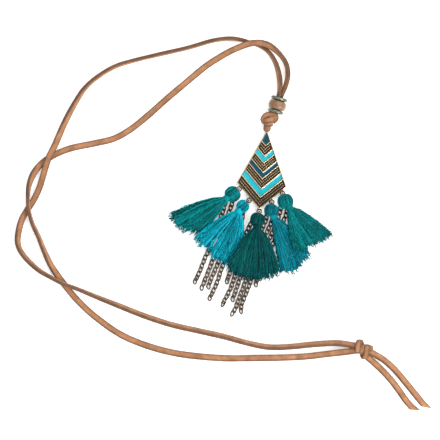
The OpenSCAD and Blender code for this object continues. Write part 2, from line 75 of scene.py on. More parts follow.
class PlateSettings(bpy.types.PropertyGroup):
    """The cast kite plate."""

    width: length("Width", "Width of the kite at its widest line", 0.025)
    top: length("Top", "Height of the kite above its widest line", 0.0272)
    foot: length("Foot", "Height of the kite below its widest line", 0.0123)
    thickness: length("Thickness", "Thickness over the rim", 0.0022)
    rim: length("Rim", "Width of the raised rim", 0.0005)
    field_depth: length("Field depth", "Depth of the field below the rim", 0.0009)
    wall: length("Wall", "Width of the raised walls beside the enamel", 0.00035)
    bead_width: length("Bead width", "Width of a bead of the rope rows", 0.00046)
    bead_pitch: length("Bead pitch", "Distance between the beads of a rope row", 0.001)
    lean: FloatProperty(name="Lean", description="Lean of the plate to the right, in degrees", default=5.5)
    raised: colour("Rubbed brass", "Brass on the rim, walls and beads", (0.74, 0.58, 0.36))
    recess: colour("Dark recess", "Antiqued brass in the recesses", (0.045, 0.026, 0.014))


class EnamelSettings(bpy.types.PropertyGroup):
    """The four enamel fields."""

    gap: length("Gap", "Gap between the enamel and its walls", 0.00006)
    height: length("Height", "Height of the enamel over the field at the middle of a row", 0.0003)
    rise: length("Rise", "How far the enamel climbs its walls", 0.00025)
    deep: colour("Deep teal", "Drop and middle chevron", (0.003, 0.052, 0.082))
    bright: colour("Turquoise", "Outer chevrons", (0.016, 0.335, 0.39))


class LeatherSettings(bpy.types.PropertyGroup):
    """The flat leather lace and its knots."""

    width: length("Width", "Width of the lace", 0.00315)
    thickness: length("Thickness", "Thickness of the lace", 0.0017)
    rounding: length("Rounding", "Rounding of the lace's corners", 0.0004)
    face: colour("Face", "Suede on the flat faces", (0.325, 0.153, 0.074))
    # The edge colour is the cut edges' own darker colour, and also stands in for the shade on the lace's sides
    edge: colour("Edge", "Cut edges", (0.135, 0.068, 0.038))


class ThreadSettings(bpy.types.PropertyGroup):
    """The tassels' threads."""

    diameter: length("Diameter", "Diameter of a skirt's thread", 0.00034)
    wound: length("Wound diameter", "Diameter of a thread on a head or a neck", 0.00046)
    count: IntProperty(name="Threads", description="Loose threads over each lock", default=20, min=1)
    ripples: IntProperty(name="Ripples", description="Threads that show round a lock's body", default=17, min=3)
    step: length("Step", "Length of a thread's straight pieces", 0.0007)
    wave: length("Wave", "How far a thread wanders at its tip", 0.0018)
    seed: IntProperty(name="Seed", description="Seed of everything random in the threads", default=7)
    dark: colour("Dark teal", "First, third and fifth tassel", (0.001, 0.19, 0.195))
    bright: colour("Blue teal", "Second and fourth tassel", (0.002, 0.3, 0.385))


class ChainSettings(bpy.types.PropertyGroup):
    """The curb chains."""

    link_length: length("Link length", "Length of a link", 0.00366)
    link_width: length("Link width", "Width of a link", 0.0025)
    wire: length("Wire", "Wire of a link", 0.00072)
    gap: length("Slack", "Slack left between two links", 0)
    twist: length("Twist", "How far a curb link's wire leaves its plane", 0.00034)
    slant: FloatProperty(name="Slant", description="Sideways slant of a link's ends", default=0.5)
    round_diameter: length("Round link", "Mean diameter of the link on the jump ring", 0.0029)
    bronze: colour("Bronze", "Rubbed bronze", (0.42, 0.31, 0.2))
    dark: colour("Dark bronze", "Bronze in the shade of the links", (0.016, 0.012, 0.009))


class StackSettings(bpy.types.PropertyGroup):
    """The wooden bead and the two patinated rings."""

    bead_diameter: length("Bead diameter", "Diameter of the bead", 0.009)
    bead_length: length("Bead length", "Length of the bead along its hole", 0.0044)
    bead_bore: length("Bead bore", "Bore of the bead", 0.0044)
    upper_diameter: length("Upper ring", "Diameter of the upper ring", 0.0084)
    lower_diameter: length("Lower ring", "Diameter of the lower ring", 0.0078)
    ring_thickness: length("Ring thickness", "Thickness of both rings", 0.0017)
    gap: length("Gap", "Gap between the bead and each ring", 0.00025)
    lean: FloatProperty(name="Lean", description="Lean of the bead and its rings, in degrees", default=16)
    wood: colour("Wood", "Pale wood of the bead", (0.2, 0.103, 0.046))
    patina: colour("Patina", "Green-grey patina of the rings", (0.24, 0.26, 0.19))


class StudioSettings(bpy.types.PropertyGroup):
    """Floor, lights and camera."""

    picture_width: length("Picture width", "Width of the surface that the picture shows", 0.22)
    picture_x: FloatProperty(
        name="Picture X", description="Middle of the picture", default=-0.02085, unit="LENGTH")
    picture_y: FloatProperty(
        name="Picture Y", description="Middle of the picture", default=-0.0177, unit="LENGTH")
    lens: FloatProperty(name="Lens", description="Focal length in millimetres", default=200)
    dome: FloatProperty(name="Dome", description="Strength of the light from overhead", default=0.8)
    floor: colour("Floor", "Plain floor", (0.92, 0.92, 0.92))


# Studio: brightness and half side of the floor, and height of the plane that the picture's width is taken on
FLOOR_GLOW = 0.42
FLOOR_HALF = 4
PICTURE_PLANE = 0.002
# The dome: height where its light starts to rise and where it is full, and its shares of the strength there.
# The cap is the camera's own dark patch overhead, which flat glossy faces show
DOME_BAND = (0.15, 0.5, 0.45, 1.35)
DOME_CAP = (0.88, 0.96, 1.0, 0.12)
# Softboxes: name, place, size, watts
SOFTBOXES = [
    ("softbox_key", (0.35, 0.5, 0.95), 1.2, 7.5),
    ("softbox_low", (0.36, -0.42, 0.42), 0.34, 4.2),
]

# Lace routes. Columns: x, y, lift off the surface, roll

LACE_LEFT = [
    (0.0091, 0.049, 0.0021, 64), (0.0087, 0.0545, 0.0006, 62), (0.0068, 0.0612, 0, 70), (0.0026, 0.067, 0, 78),
    (-0.0044, 0.0706, 0, 90), (-0.014, 0.073, 0, 82), (-0.024, 0.0721, 0, 80), (-0.037, 0.0684, 0, 80),
    (-0.05, 0.0654, 0, 80), (-0.063, 0.0623, 0, 80), (-0.073, 0.0592, 0, 76), (-0.081, 0.0546, 0, 76),
    (-0.088, 0.0487, 0, 70), (-0.0935, 0.0405, 0, 58), (-0.0985, 0.031, 0, 40), (-0.103, 0.0205, 0.0015, 15),
    (-0.1064, 0.0134, 0.0022, 0), (-0.1088, 0.006, 0.0012, 0), (-0.111, -0.001, 0, 0),
    (-0.1136, -0.0068, 0, 0), (-0.1169, -0.0121, 0, 0), (-0.1196, -0.0166, 0, 15), (-0.1214, -0.0225, 0, 35),
    (-0.1219, -0.0295, 0, 58), (-0.119, -0.0355, 0, 62), (-0.112, -0.0424, 0.0004, 70),
    (-0.1055, -0.0463, 0.0016, 80), (-0.099, -0.0496, 0.0022, 82), (-0.0925, -0.052, 0.0016, 82),
    (-0.084, -0.0556, 0.0001, 75), (-0.071, -0.0608, 0, 62), (-0.058, -0.0659, 0, 58), (-0.045, -0.0701, 0, 58),
    (-0.031, -0.0733, 0, 58), (-0.019, -0.076, 0, 58), (-0.0065, -0.0794, 0, 58), (0.004, -0.0813, 0, 56),
    (0.015, -0.081, 0, 54), (0.027, -0.0798, 0, 48), (0.038, -0.0793, 0.0005, 42), (0.0462, -0.0805, 0.0012, 40),
    (0.0486, -0.0813, 0.0014, 35),
]
LACE_RIGHT = [
    (0.0118, 0.049, 0.0021, 68), (0.0131, 0.0548, 0.0006, 66), (0.0122, 0.0606, 0, 70),
    (0.0084, 0.0658, 0.0006, 66), (0.0025, 0.0699, 0.0028, 25), (-0.0044, 0.0706, 0.0036, 0),
    (-0.0117, 0.0684, 0.0026, 0),
    (-0.019, 0.0649, 0.0006, 5), (-0.028, 0.0592, 0, 5), (-0.0384, 0.0506, 0, 0), (-0.0474, 0.043, 0, 0),
    (-0.0564, 0.035, 0, 0), (-0.0654, 0.0278, 0, 0), (-0.074, 0.023, 0, 0), (-0.084, 0.0206, 0, 0),
    (-0.095, 0.0183, 0, 0), (-0.103, 0.0152, 0, 0), (-0.1096, 0.011, 0, 0), (-0.1138, 0.006, 0.0004, 30),
    (-0.1162, 0, 0.0009, 62), (-0.1168, -0.006, 0.0018, 84), (-0.1164, -0.0122, 0.0021, 84),
    (-0.1146, -0.0194, 0.0007, 78), (-0.1116, -0.026, 0, 70), (-0.1086, -0.0334, 0, 62), (-0.105, -0.041, 0, 42),
    (-0.099, -0.0496, 0, 0), (-0.0924, -0.0576, 0, 10), (-0.0834, -0.066, 0, 15), (-0.071, -0.0748, 0, 15),
    (-0.058, -0.0804, 0, 15), (-0.045, -0.084, 0, 15), (-0.032, -0.0859, 0, 15), (-0.018, -0.0869, 0, 15),
    (-0.004, -0.0868, 0, 15), (0.01, -0.0866, 0, 15), (0.022, -0.086, 0, 15), (0.034, -0.0846, 0.0002, 15),
    (0.0456, -0.0832, 0.0011, 25), (0.0482, -0.0828, 0.0014, 25),
]
TAIL_UPPER = [
    (0.0518, -0.0826, 0.0016, 30), (0.0554, -0.0843, 0.0013, 30), (0.0616, -0.0881, 0.0003, 30),
    (0.0672, -0.0933, 0, 28), (0.0722, -0.0992, 0, 22), (0.0766, -0.1046, 0, 16), (0.0802, -0.109, 0, 12),
    (0.0824, -0.1114, 0, 10),
]
TAIL_LOWER = [
    (0.0516, -0.0854, 0.0013, 20), (0.0542, -0.0874, 0.0009, 20), (0.0594, -0.0921, 0.0002, 20),
    (0.0644, -0.0974, 0, 20), (0.0686, -0.1029, 0, 20), (0.0719, -0.1076, 0, 18), (0.0746, -0.1108, 0, 14),
    (0.0768, -0.1128, 0, 10),
]
# Middle of the bead, and a strand's rows in the stack: distance along it, and drop
STACK_AT = (0.0078, 0.0396)
STACK_STARTS = [(-0.0042, -0.0002), (0, 0), (0.0049, 0)]
# Half the gap between the strands in the stack, and the gap under what lies on the surface
STRAND_GAP = 0.00006
CLEAR = 0.00002
# Lace: length of a swept piece, slant of the tails' cut, points across its flat faces, how much its section
# varies and how often in a metre, and shares of its half width between which its edges darken, partly in the cut
# edges' own colour and partly in painted shade
LACE_STEP = 0.0008
TAIL_CUT = 0.0022
LACE_ACROSS = (0.6, 0, -0.6)
LACE_UNEVEN = 0.05
LACE_CHANGES = 120
EDGE_FROM, EDGE_TO = 0.45, 0.9
# How much of its unevenness a lace's width and thickness show
UNEVEN_AXES = (1, 0.6)
# Knots: height, width and thickness of the pulled lace as shares of its own, part of a turn that the first
# and last pass run on, the painted shade on its masses under the passes, and the gain, start and limit of its
# edges' darkening, which also lays painted shade over the whole knot
KNOT_HEIGHT = 0.0054
PULLED = (0.94, 1.05)
PASS_END = 0.42
CORE_SHADE = 0.25
KNOT_EDGE_AND_SHADE = (1.3, 0.15, 1.3)
# Width, thickness and rounding: of the tongue in the top eye, and of a fold as shares of the lace's
TONGUE = (0.0026, 0.0011, 0.0005)
FOLD = (0.8, 0.7, 0.8)
# Passes of the lace over the top of each knot. Columns: x, y, aim, half length, lift over the knot
PENDANT_PASSES = [
    (0.0047, 0.034, -10, 0.003, -0.0002), (0.0034, 0.0322, 20, 0.0036, 0.0004),
    (0.0034, 0.0303, 6, 0.0023, -0.0004),
]
END_PASSES = [(0.0479, -0.0803, 88, 0.0037, 0), (0.0523, -0.084, 86, 0.0043, 0.0003)]
# Rounded masses under the passes. Columns: x, y, aim, half length, half width, height below the knot's
PENDANT_CORES = [
    (0.0036, 0.0327, 14, 0.0031, 0.0021, 0.0008), (0.0028, 0.0293, 84.5, 0.003, 0.0019, 0.0009),
]
END_CORES = [
    (0.0505, -0.0826, -40, 0.0035, 0.0026, 0.0004), (0.0541, -0.0819, -55, 0.0021, 0.0015, 0.0009),
]
# The lace's loop through the plate's top eye, from its middle: along the plate, and height
EYE_LOOP = [
    (0.0042, 0.0036), (0.0022, 0.0034), (0.0002, 0.0029), (-0.0005, 0.0018), (0.0001, 0.0008),
    (0.0022, 0.00062), (0.0042, 0.0017),
]
# A fold of the lace over the pendant knot, and one that stands out of the end knot. Columns: x, y, z
PENDANT_FOLD = [
    (0.0014, 0.0312, 0.0026), (0.0006, 0.0326, 0.0036), (0.0019, 0.0345, 0.0045), (0.0045, 0.0351, 0.0049),
    (0.0068, 0.0345, 0.0046), (0.0071, 0.0328, 0.0036), (0.0056, 0.0313, 0.0026),
]
END_FOLD = [
    (0.0515, -0.0812, 0.0036), (0.0534, -0.0814, 0.0037), (0.055, -0.0817, 0.0027), (0.0534, -0.082, 0.0015),
    (0.0515, -0.0821, 0.0014),
]

# Patinated rings: dents in a metre, and the tube's mean size and how far dents change it, as shares. Bead:
# radius of its crown as a share of its length, share of the bead that the crown takes, softness of its rims
RING_DENTS = 700
RING_SWELL = (0.97, 0.05)
BEAD_CROWN = (0.75, 0.93)
BEAD_SOFT = 0.0002

# Plate rows, as shares of the plate's height from its foot
CHEVRONS = [(0.59, 0.67), (0.39, 0.463), (0.153, 0.253)]
DROP = 0.812
ROPES = [0.723, 0.764, 0.51, 0.548, 0.302, 0.342, 0.056, 0.1]
# Softness of the kite's corners, and how far the walls stay under the rim and reach into the field
CORNER = 0.00025
WALL_SINK = 0.0001
# Height of a rope row's middle over the field, and its beads' height to their width
ROPE_LIFT = 0.00012
ROPE_HEIGHT = 1.3
# How bare the brass is rubbed: height under the rim where it is barest and how soon it darkens below; the share
# of that brightness that the eyes keep, darkening them; and length and least share of the painted shade that the
# lace throws on the top corner
RUB_TOP = 0.0002
RUB_FALL = 2
EYE_DARKER = 0.06
LACE_SHADE = (0.005, 0.15)
# Lower eyes: side of the plate, and place along that edge from the side corner
EYES = [(-1, 0.19), (-1, 0.62), (0, 1), (1, 0.6), (1, 0.2)]
# Lower eyes: bore, wall, gap to the plate's outline and thickness
EYE_BORE = 0.0015
EYE_WALL = 0.00065
EYE_GAP = 0.0005
EYE_T = 0.0008
# Top eye: bore, wall and lift of its middle over the kite's top corner
TOP_BORE = 0.0025
TOP_WALL = 0.0006
TOP_LIFT = 0.001
# Enamel: share of its half width where it starts to climb, share of an arm where its end does, how sharply
# the painted shade darkens it towards its walls, and where across a row the upper wall's polish starts and how
# fast it and the arm's grow
CLIMB_FROM = 0.6
END_FROM = 0.93
WALL_SHADE_FALL, END_FALL = 6, 2
POLISH_FROM = 0.4
POLISH_GAIN, ARM_GAIN = 5, 8
# The chevron that is as deep a teal as the drop, and share of the polish that the others have
DEEP_CHEVRON = 1
OUTER_POLISH = 0.6
# Jump rings: mean radius and wire
RING_R = 0.00235
RING_WIRE = 0.0007

# Tassels: aim of the head from its eye, radius of the head, aim of the skirt
TASSELS = [(218, 0.0039, 217), (223, 0.0032, 236), (258, 0.0037, 264), (265, 0.0035, 290), (287, 0.0039, 302)]
# Heads: half height, height under them, place past the jump ring's middle as a share of its radius, and
# half length, half width and offset of a lobe as shares of the head's radius
HEAD_H = 0.0029
HEAD_UNDER = 0.003
HEAD_PAST = 0.85
LOBE_SHAPE = (0.88, 0.63, 0.37)
# Shares of half a turn at which a lobe's strand starts and ends
LOBE_ENDS = (0.04, 0.96)
# Necks: diameter, place from the head's middle as a share of its radius, turns of the binding, and its
# pitch and radius as shares of its thread and of the neck's radius
NECK_D = 0.0038
NECK_SHARE = 0.85
NECK_TURNS = 6
BINDING = (0.95, 0.96)
# Share of the binding's turns that lie before the neck's place
TURNS_BEFORE = 0.35
# Skirts: thickness, thickness at the tips and at a lock's third station as a share, rest over a chain, and
# locks in a lobe that spans so many degrees
SKIRT_T = 0.0042
TIP_T = 0.0018
THINNED = 0.75
OVER_CHAIN = 0.0023
LOCK_COUNT = 11
FULL_SPAN = 44
# Lobes of each skirt: tassel, aims of its sides, then three values each for one side, the middle and
# the other side: reach, rest of the tips, fullness, rest near the head
LOBES = [
    (0, (198, 231), (0.034, 0.0325, 0.024), (0.0002, 0.0002, 0.0006), (0.55, 1, 0.5), (0.0023, 0.0023, 0.0023)),
    (1, (214, 231), (0.03, 0.0305, 0.028), (0.0023, 0.0023, 0.0023), (0.5, 0.8, 0.6), (0.0026, 0.0025, 0.0024)),
    (1, (235, 264), (0.03, 0.031, 0.03), (0.0023, 0.0023, 0.0023), (0.6, 0.9, 0.4), (0.0024, 0.0024, 0.0024)),
    (2, (239, 254), (0.0295, 0.0305, 0.0308), (0.0046, 0.0045, 0.0039), (0.45, 0.55, 0.7),
     (0.0046, 0.0045, 0.0044)),
    (2, (254, 292), (0.0308, 0.0312, 0.03), (0.0037, 0.0023, 0.0044), (0.7, 1, 0.5), (0.0044, 0.0042, 0.0044)),
    (3, (280, 298), (0.0315, 0.034, 0.032), (0.0023, 0.0008, 0.0002), (0.4, 0.7, 0.4), (0.0024, 0.0023, 0.0022)),
    (3, (300, 311), (0.032, 0.0315, 0.031), (0.0002, 0.0002, 0.0002), (0.4, 0.42, 0.4), (0.0022, 0.0022, 0.0021)),
    (4, (283, 296), (0.027, 0.0265, 0.0265), (0.0038, 0.0033, 0.0028), (0.45, 0.6, 0.75),
     (0.0043, 0.0039, 0.0034)),
    (4, (296, 324), (0.0265, 0.028, 0.03), (0.0022, 0.0004, 0.0002), (0.75, 1, 0.55), (0.0033, 0.0024, 0.0021)),
]
# Stations of a lock: share of its reach, and share of its spread
STATIONS = [(0, 0), (0.25, 0.42), (0.62, 0.76), (1, 1)]
# A lock's width at a station, as shares of its place in the lobe: at no spread, and what full spread adds
LOCK_WIDTH = (0.33, 1.1)
# A lock's root: place of its start as a share of the neck's, half width there, width and height at the neck
# as shares of the neck's diameter, and how far it lies over the neck's underside
ROOT_START, ROOT_HALF, ROOT_WIDE, ROOT_TALL, ROOT_LIFT = 0.45, 0.4, 0.45, 0.8, 0.0003
# Tassels of the brighter thread
BRIGHT_TASSELS = (1, 3)
# Brightness of each tassel's threads over their colour
TONES = (0.95, 1.1, 0.41, 0.56, 0.76)
# Loose threads: least and most of what is drawn for each: its place in the strand, tint and thickness
THREAD_PLACE, THREAD_TINT, THREAD_SIZE = (0.82, 1.04), (0.35, 2.0), (0.8, 1.15)
# How a thread wanders: changes in a metre, gain, share of it along each axis, and the room that its start
# is drawn from. Share of a strand's half height that its threads take
WANDER_SCALE, WANDER_GAIN, WANDER_AXES, WANDER_ROOM = 110.0, 2.4, (1.0, 1.0, 0.35), 40.0
STRAND_FILL = 0.92
# Share of its strand that a lock's body reaches, share of the threads' wave that a head's windings have, and
# share of its length that a loose thread is cut short by at most
BODY_REACH, WINDING_WAVE, RAGGED = 0.96, 0.2, 0.1
# Bodies under the threads: length of a swept piece, share of its reach that each is cut to, points to a
# ripple, painted shade in the grooves between ripples, depth of a ripple, and its drift: depth, turn, tint and
# waves along a body
BODY_STEP = 0.0008
BODY_CUT = (0.93, 1)
RIPPLE_POINTS, GROOVE_SHADE = 3, 0.3
RIPPLE_DEPTH = 0.000132
DRIFT_DEPTH, DRIFT_TURN, DRIFT_TINT, DRIFT_WAVES = 0.00016, 0.05, 0.2, (4, 9)
BODY_TWIST = 0.5
BODY_TINT = (0.35, 1.65)

# Way points of each chain after its first link, as in the part
WAYS = [
    [(-0.0186, -0.011), (-0.0202, -0.0155), (-0.0232, -0.0245), (-0.0262, -0.032), (-0.0285, -0.037),
     (-0.031, -0.0435), (-0.0335, -0.0487)],
    [(-0.0152, -0.0105), (-0.0171, -0.016), (-0.0204, -0.026), (-0.0246, -0.038), (-0.0273, -0.045),
     (-0.0305, -0.0529)],
    [(-0.0132, -0.018), (-0.0162, -0.026), (-0.0209, -0.037), (-0.0232, -0.0425), (-0.0257, -0.048),
     (-0.0268, -0.0516)],
    [(-0.0102, -0.0185), (-0.013, -0.026), (-0.0177, -0.037), (-0.0203, -0.0425), (-0.0216, -0.047),
     (-0.0236, -0.052), (-0.0262, -0.0572)],
    [(-0.0064, -0.0214), (-0.0093, -0.028), (-0.0133, -0.037), (-0.0157, -0.0435), (-0.0175, -0.0487)],
    [(-0.0033, -0.0215), (-0.0061, -0.028), (-0.0101, -0.037), (-0.0127, -0.0436), (-0.0154, -0.0515),
     (-0.0198, -0.0604)],
    [(0.0022, -0.0176), (-0.0006, -0.024), (-0.0049, -0.0325), (-0.0098, -0.044), (-0.0126, -0.052),
     (-0.0147, -0.0578)],
    [(0.0054, -0.0176), (0.0025, -0.024), (-0.0017, -0.033), (-0.0067, -0.0445), (-0.009, -0.051),
     (-0.012, -0.0586), (-0.0133, -0.0624), (-0.0156, -0.0657)],
    [(0.0092, -0.0138), (0.007, -0.02), (0.0026, -0.03), (-0.004, -0.0445), (-0.0064, -0.051), (-0.0084, -0.056),
     (-0.01, -0.06), (-0.0104, -0.0642)],
    [(0.0123, -0.0148), (0.0098, -0.0205), (0.0054, -0.03), (-0.0004, -0.043), (-0.0023, -0.0476),
     (-0.003, -0.0504)],
]
# Chain starts: jump ring, angle down its far side, lead of the chain, height after the lead
STARTS = [
    (0, 43, 209, 0.001), (0, 17, 275, 0.0018), (1, 39, 212, 0.001), (1, 13, 277, 0.00185), (2, 48, 210, 0.00105),
    (2, 16, 273, 0.0017), (3, 45, 228, 0.001), (3, 14, 286, 0.00175), (4, 50, 232, 0.00105), (4, 16, 288, 0.0015),
]
# Odd and even chains: shift of the round link along its chain, and its roll
FIRST_LINKS = [(0.0002, -25), (0.0006, -20)]
# Height of a chain on the surface, length of its lead from the jump ring, and its curb links' roll either
# way and stray, in degrees
CHAIN_REST = 0.001
LEAD = 0.00342
LINK_ROLL, LINK_STRAY = 16, 20


# Small geometry helpers


def unit(v):
    """Each row of an array, or one vector, at length 1."""
    return v / np.maximum(np.linalg.norm(v, axis=-1, keepdims=True), 1e-12)


def turned(x, y, angle):
    """A point turned about the origin."""
    c, s = math.cos(math.radians(angle)), math.sin(math.radians(angle))
    return np.array([x * c - y * s, x * s + y * c])


def heading(angle):
    """The unit direction of an angle in the plane."""
    return np.array([math.cos(math.radians(angle)), math.sin(math.radians(angle)), 0])


def smooth_run(rows, steps):
    """A smooth run through rows of numbers, with the given steps to each stretch."""
    p = np.asarray(rows, float)
    p = np.vstack([2 * p[0] - p[1], p, 2 * p[-1] - p[-2]])
    t = np.linspace(0, 1, steps, endpoint=False)[:, None]
    runs = [
        0.5 * (2 * b + (c - a) * t + (2 * a - 5 * b + 4 * c - d) * t**2 + (3 * b - a - 3 * c + d) * t**3)
        for a, b, c, d in zip(p, p[1:], p[2:], p[3:])
    ]
    return np.vstack([*runs, p[-2]])


def lengths(points):
    """Length of a line up to each of its points."""
    return np.concatenate([[0], np.cumsum(np.linalg.norm(np.diff(points, axis=0), axis=1))])


def at_lengths(rows, along, wanted):
    """Rows of a run at the wanted lengths."""
    return np.stack([np.interp(wanted, along, column) for column in np.asarray(rows).T], axis=1)


def loft(loops, ring=False):
    """Points and faces of a closed skin over loops of equally many points. The last loop of a ring joins its
    first, and otherwise both ends are capped."""
    n, m = len(loops), len(loops[0])
    points = np.asarray(loops, float).reshape(-1, 3)
    faces = [
        (i * m + j, i * m + (j + 1) % m, (i + 1) % n * m + (j + 1) % m, (i + 1) % n * m + j)
        for i in range(n if ring else n - 1)
        for j in range(m)
    ]
    if not ring:
        faces += [tuple(range(m - 1, -1, -1)), tuple(range((n - 1) * m, n * m))]
    return points, faces


def joined(parts):
    """One list of points and faces from several."""
    points, faces, start = [], [], 0
    for p, f in parts:
        points.append(np.asarray(p, float))
        faces += [tuple(i + start for i in face) for face in f]
        start += len(p)
    return np.vstack(points), faces


def lathe(profile, steps):
    """A closed profile of (radius, height) pairs turned about the Z axis."""
    turn = np.radians(np.arange(steps) * 360 / steps)
    loops = [np.stack([r * np.cos(turn), r * np.sin(turn), np.full(steps, z)], axis=1) for r, z in profile]
    return loft(loops, ring=True)


def circle_profile(middle, radius, steps):
    """A round profile for a lathe."""
    t = np.radians(np.arange(steps) * 360 / steps)
    return np.stack([middle + radius * np.cos(t), radius * np.sin(t)], axis=1)


def rounded_box(width, height, rounding, steps=3, across=()):
    """Points of a rounded rectangle about the origin, with points across its long faces at these shares."""
    flat = width / 2 - rounding
    points = []
    for sx, sy, a in [(1, 1, 0), (-1, 1, 90), (-1, -1, 180), (1, -1, 270)]:
        for k in range(steps + 1):
            turn = math.radians(a + k * 90 / steps)
            points.append((
                sx * flat + rounding * math.cos(turn), sy * (height / 2 - rounding) + rounding * math.sin(turn)))
        if sx == sy:
            points += [(sx * share * flat, sy * height / 2) for share in across]
    return np.array(points)


def swept(centres, sides, rises, section):
    """A section swept along centres. Its x follows sides and its y rises, and it may change on the way."""
    section = np.asarray(section, float)
    if section.ndim == 2:
        section = np.repeat(section[None], len(centres), axis=0)
    return loft(centres[:, None] + section[..., :1] * sides[:, None] + section[..., 1:] * rises[:, None])


def ball(centre, radii, aim=0, detail=3):
    """A fine ball, stretched, turned about Z and moved."""
    made = bmesh.new()
    bmesh.ops.create_icosphere(made, subdivisions=detail, radius=1)
    turn = Matrix.Translation(centre) @ Matrix.Rotation(math.radians(aim), 4, "Z") @ Matrix.Diagonal((*radii, 1))
    bmesh.ops.transform(made, matrix=turn, verts=made.verts)
    shape = [v.co[:] for v in made.verts], [tuple(v.index for v in f.verts) for f in made.faces]
    made.free()
    return shape


def outward(mesh):
    """Turns every closed shell's faces outwards."""
    made = bmesh.new()
    made.from_mesh(mesh)
    bmesh.ops.recalc_face_normals(made, faces=made.faces)
    made.to_mesh(mesh)
    made.free()


def store(mesh, values, kind="FLOAT"):
    """Gives the points of a mesh an attribute for each named row of values."""
    field = "vector" if kind == "FLOAT_VECTOR" else "value"
    for key, row in values.items():
        data = mesh.attributes.new(key, kind, "POINT").data
        data.foreach_set(field, np.asarray(row, np.int32 if kind == "INT" else np.float32).ravel())


def level_sides(tangents, left=True):
    """Level directions across a line, to its left or its right."""
    way = 1 if left else -1
    return unit(np.stack([-way * tangents[:, 1], way * tangents[:, 0], np.zeros(len(tangents))], axis=1))


def put(name, shape, material, replaced, values=None, sharp=40):
    """Adds a closed piece to the object and hides the part's nodes that it replaces."""
    points, faces = shape
    mesh = bpy.data.meshes.new(name)
    mesh.from_pydata(np.asarray(points, float).tolist(), [], faces)
    store(mesh, values or {})
    outward(mesh)
    mesh.shade_smooth()
    mesh.set_sharp_from_angle(angle=math.radians(sharp))
    mesh.materials.append(material)
    piece = bpy.data.objects.new(name, mesh)
    bpy.context.scene.collection.objects.link(piece)
    return declared(piece, replaced)


def declared(piece, replaced):
    """Hangs a finished piece on the root and hides the part's nodes that it replaces."""
    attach(piece, "root")
    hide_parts(*replaced)
    return piece


# Node trees


def add_node(tree, kind, fill=None, **settings):
    """Adds a node. fill gives its inputs by name or number: a socket is linked, anything else is a value."""
    node = tree.nodes.new(kind)
    for name, value in settings.items():
        setattr(node, name, value)
    for key, value in (fill or {}).items():
        if isinstance(value, bpy.types.NodeSocket):
            tree.links.new(value, node.inputs[key])
        else:
            node.inputs[key].default_value = value
    return node


def calculated(tree, operation, *values, clamp=False):
    """The result of a Math node."""
    node = add_node(tree, "ShaderNodeMath", dict(enumerate(values)), operation=operation, use_clamp=clamp)
    return node.outputs[0]


def ranged(tree, value, at_zero, at_one):
    """A value's straight run, from what it gives at 0 to what it gives at 1."""
    return calculated(tree, "MULTIPLY_ADD", value, at_one - at_zero, at_zero)


def vector_calculated(tree, operation, *values, scale=None):
    """The result of a Vector Math node."""
    fill = dict(enumerate(values))
    if scale is not None:
        fill["Scale"] = scale
    return add_node(tree, "ShaderNodeVectorMath", fill, operation=operation).outputs[0]


def new_group(name, kind, inputs, outputs):
    """An empty node group. inputs are (name, kind of socket, default) and outputs (name, kind of socket)."""
    tree = bpy.data.node_groups.new(name, kind)
    for label, socket, *default in inputs:
        made = tree.interface.new_socket(label, in_out="INPUT", socket_type="NodeSocket" + socket)
        if default:
            made.default_value = default[0]
    for label, socket in outputs:
        tree.interface.new_socket(label, in_out="OUTPUT", socket_type="NodeSocket" + socket)
    return tree, tree.nodes.new("NodeGroupInput").outputs, tree.nodes.new("NodeGroupOutput").inputs


def new_grower(name, sizes):
    """An empty geometry tree that takes a guide, sizes and a material."""
    inputs = [("Geometry", "Geometry"), *sizes, ("Material", "Material")]
    return new_group(name, "GeometryNodeTree", inputs, [("Geometry", "Geometry")])


def grow(name, guide, tree, inputs):
    """Runs a geometry tree on a guide mesh and returns an object that holds the plain result."""
    source = bpy.data.objects.new(name, guide)
    bpy.context.scene.collection.objects.link(source)
    modifier = source.modifiers.new(tree.name, "NODES")
    modifier.node_group = tree
    for item in tree.interface.items_tree:
        if item.item_type == "SOCKET" and item.in_out == "INPUT" and item.name in inputs:
            modifier[item.identifier] = inputs[item.name]
    seen = source.evaluated_get(bpy.context.evaluated_depsgraph_get())
    grown = bpy.data.meshes.new_from_object(seen)
    if not grown.polygons:
        raise RuntimeError(f"{name}: its geometry tree made nothing")
    source.modifiers.remove(modifier)
    source.data = grown
    grown.name = name
    grown.materials.clear()
    grown.materials.append(inputs["Material"])
    bpy.data.meshes.remove(guide)
    return source


def guide_mesh(name, points, edges=(), vectors=None, numbers=None):
    """A mesh of points and lines with an attribute for each value that a tree reads."""
    mesh = bpy.data.meshes.new(name + "_guide")
    mesh.from_pydata(np.asarray(points, float).tolist(), [list(e) for e in edges], [])
    store(mesh, vectors or {}, "FLOAT_VECTOR")
    store(mesh, numbers or {})
    return mesh


def named(tree, name, kind="FLOAT"):
    """A field that reads a named attribute."""
    return add_node(tree, "GeometryNodeInputNamedAttribute", {"Name": name}, data_type=kind).outputs[0]


def tagged(tree, geometry, name, value):
    """Geometry that carries a value at its points under a name."""
    return add_node(
        tree, "GeometryNodeStoreNamedAttribute", {"Geometry": geometry, "Name": name, "Value": value},
        data_type="FLOAT", domain="POINT").outputs[0]


def circle(tree, resolution, radius):
    """A round curve."""
    return add_node(
        tree, "GeometryNodeCurvePrimitiveCircle", {"Resolution": resolution, "Radius": radius},
        mode="RADIUS").outputs[0]


def drawn(tree, low, high, ident, seed):
    """A random number for each ident."""
    return add_node(
        tree, "FunctionNodeRandomValue", {2: low, 3: high, "ID": ident, "Seed": seed},
        data_type="FLOAT").outputs[1]


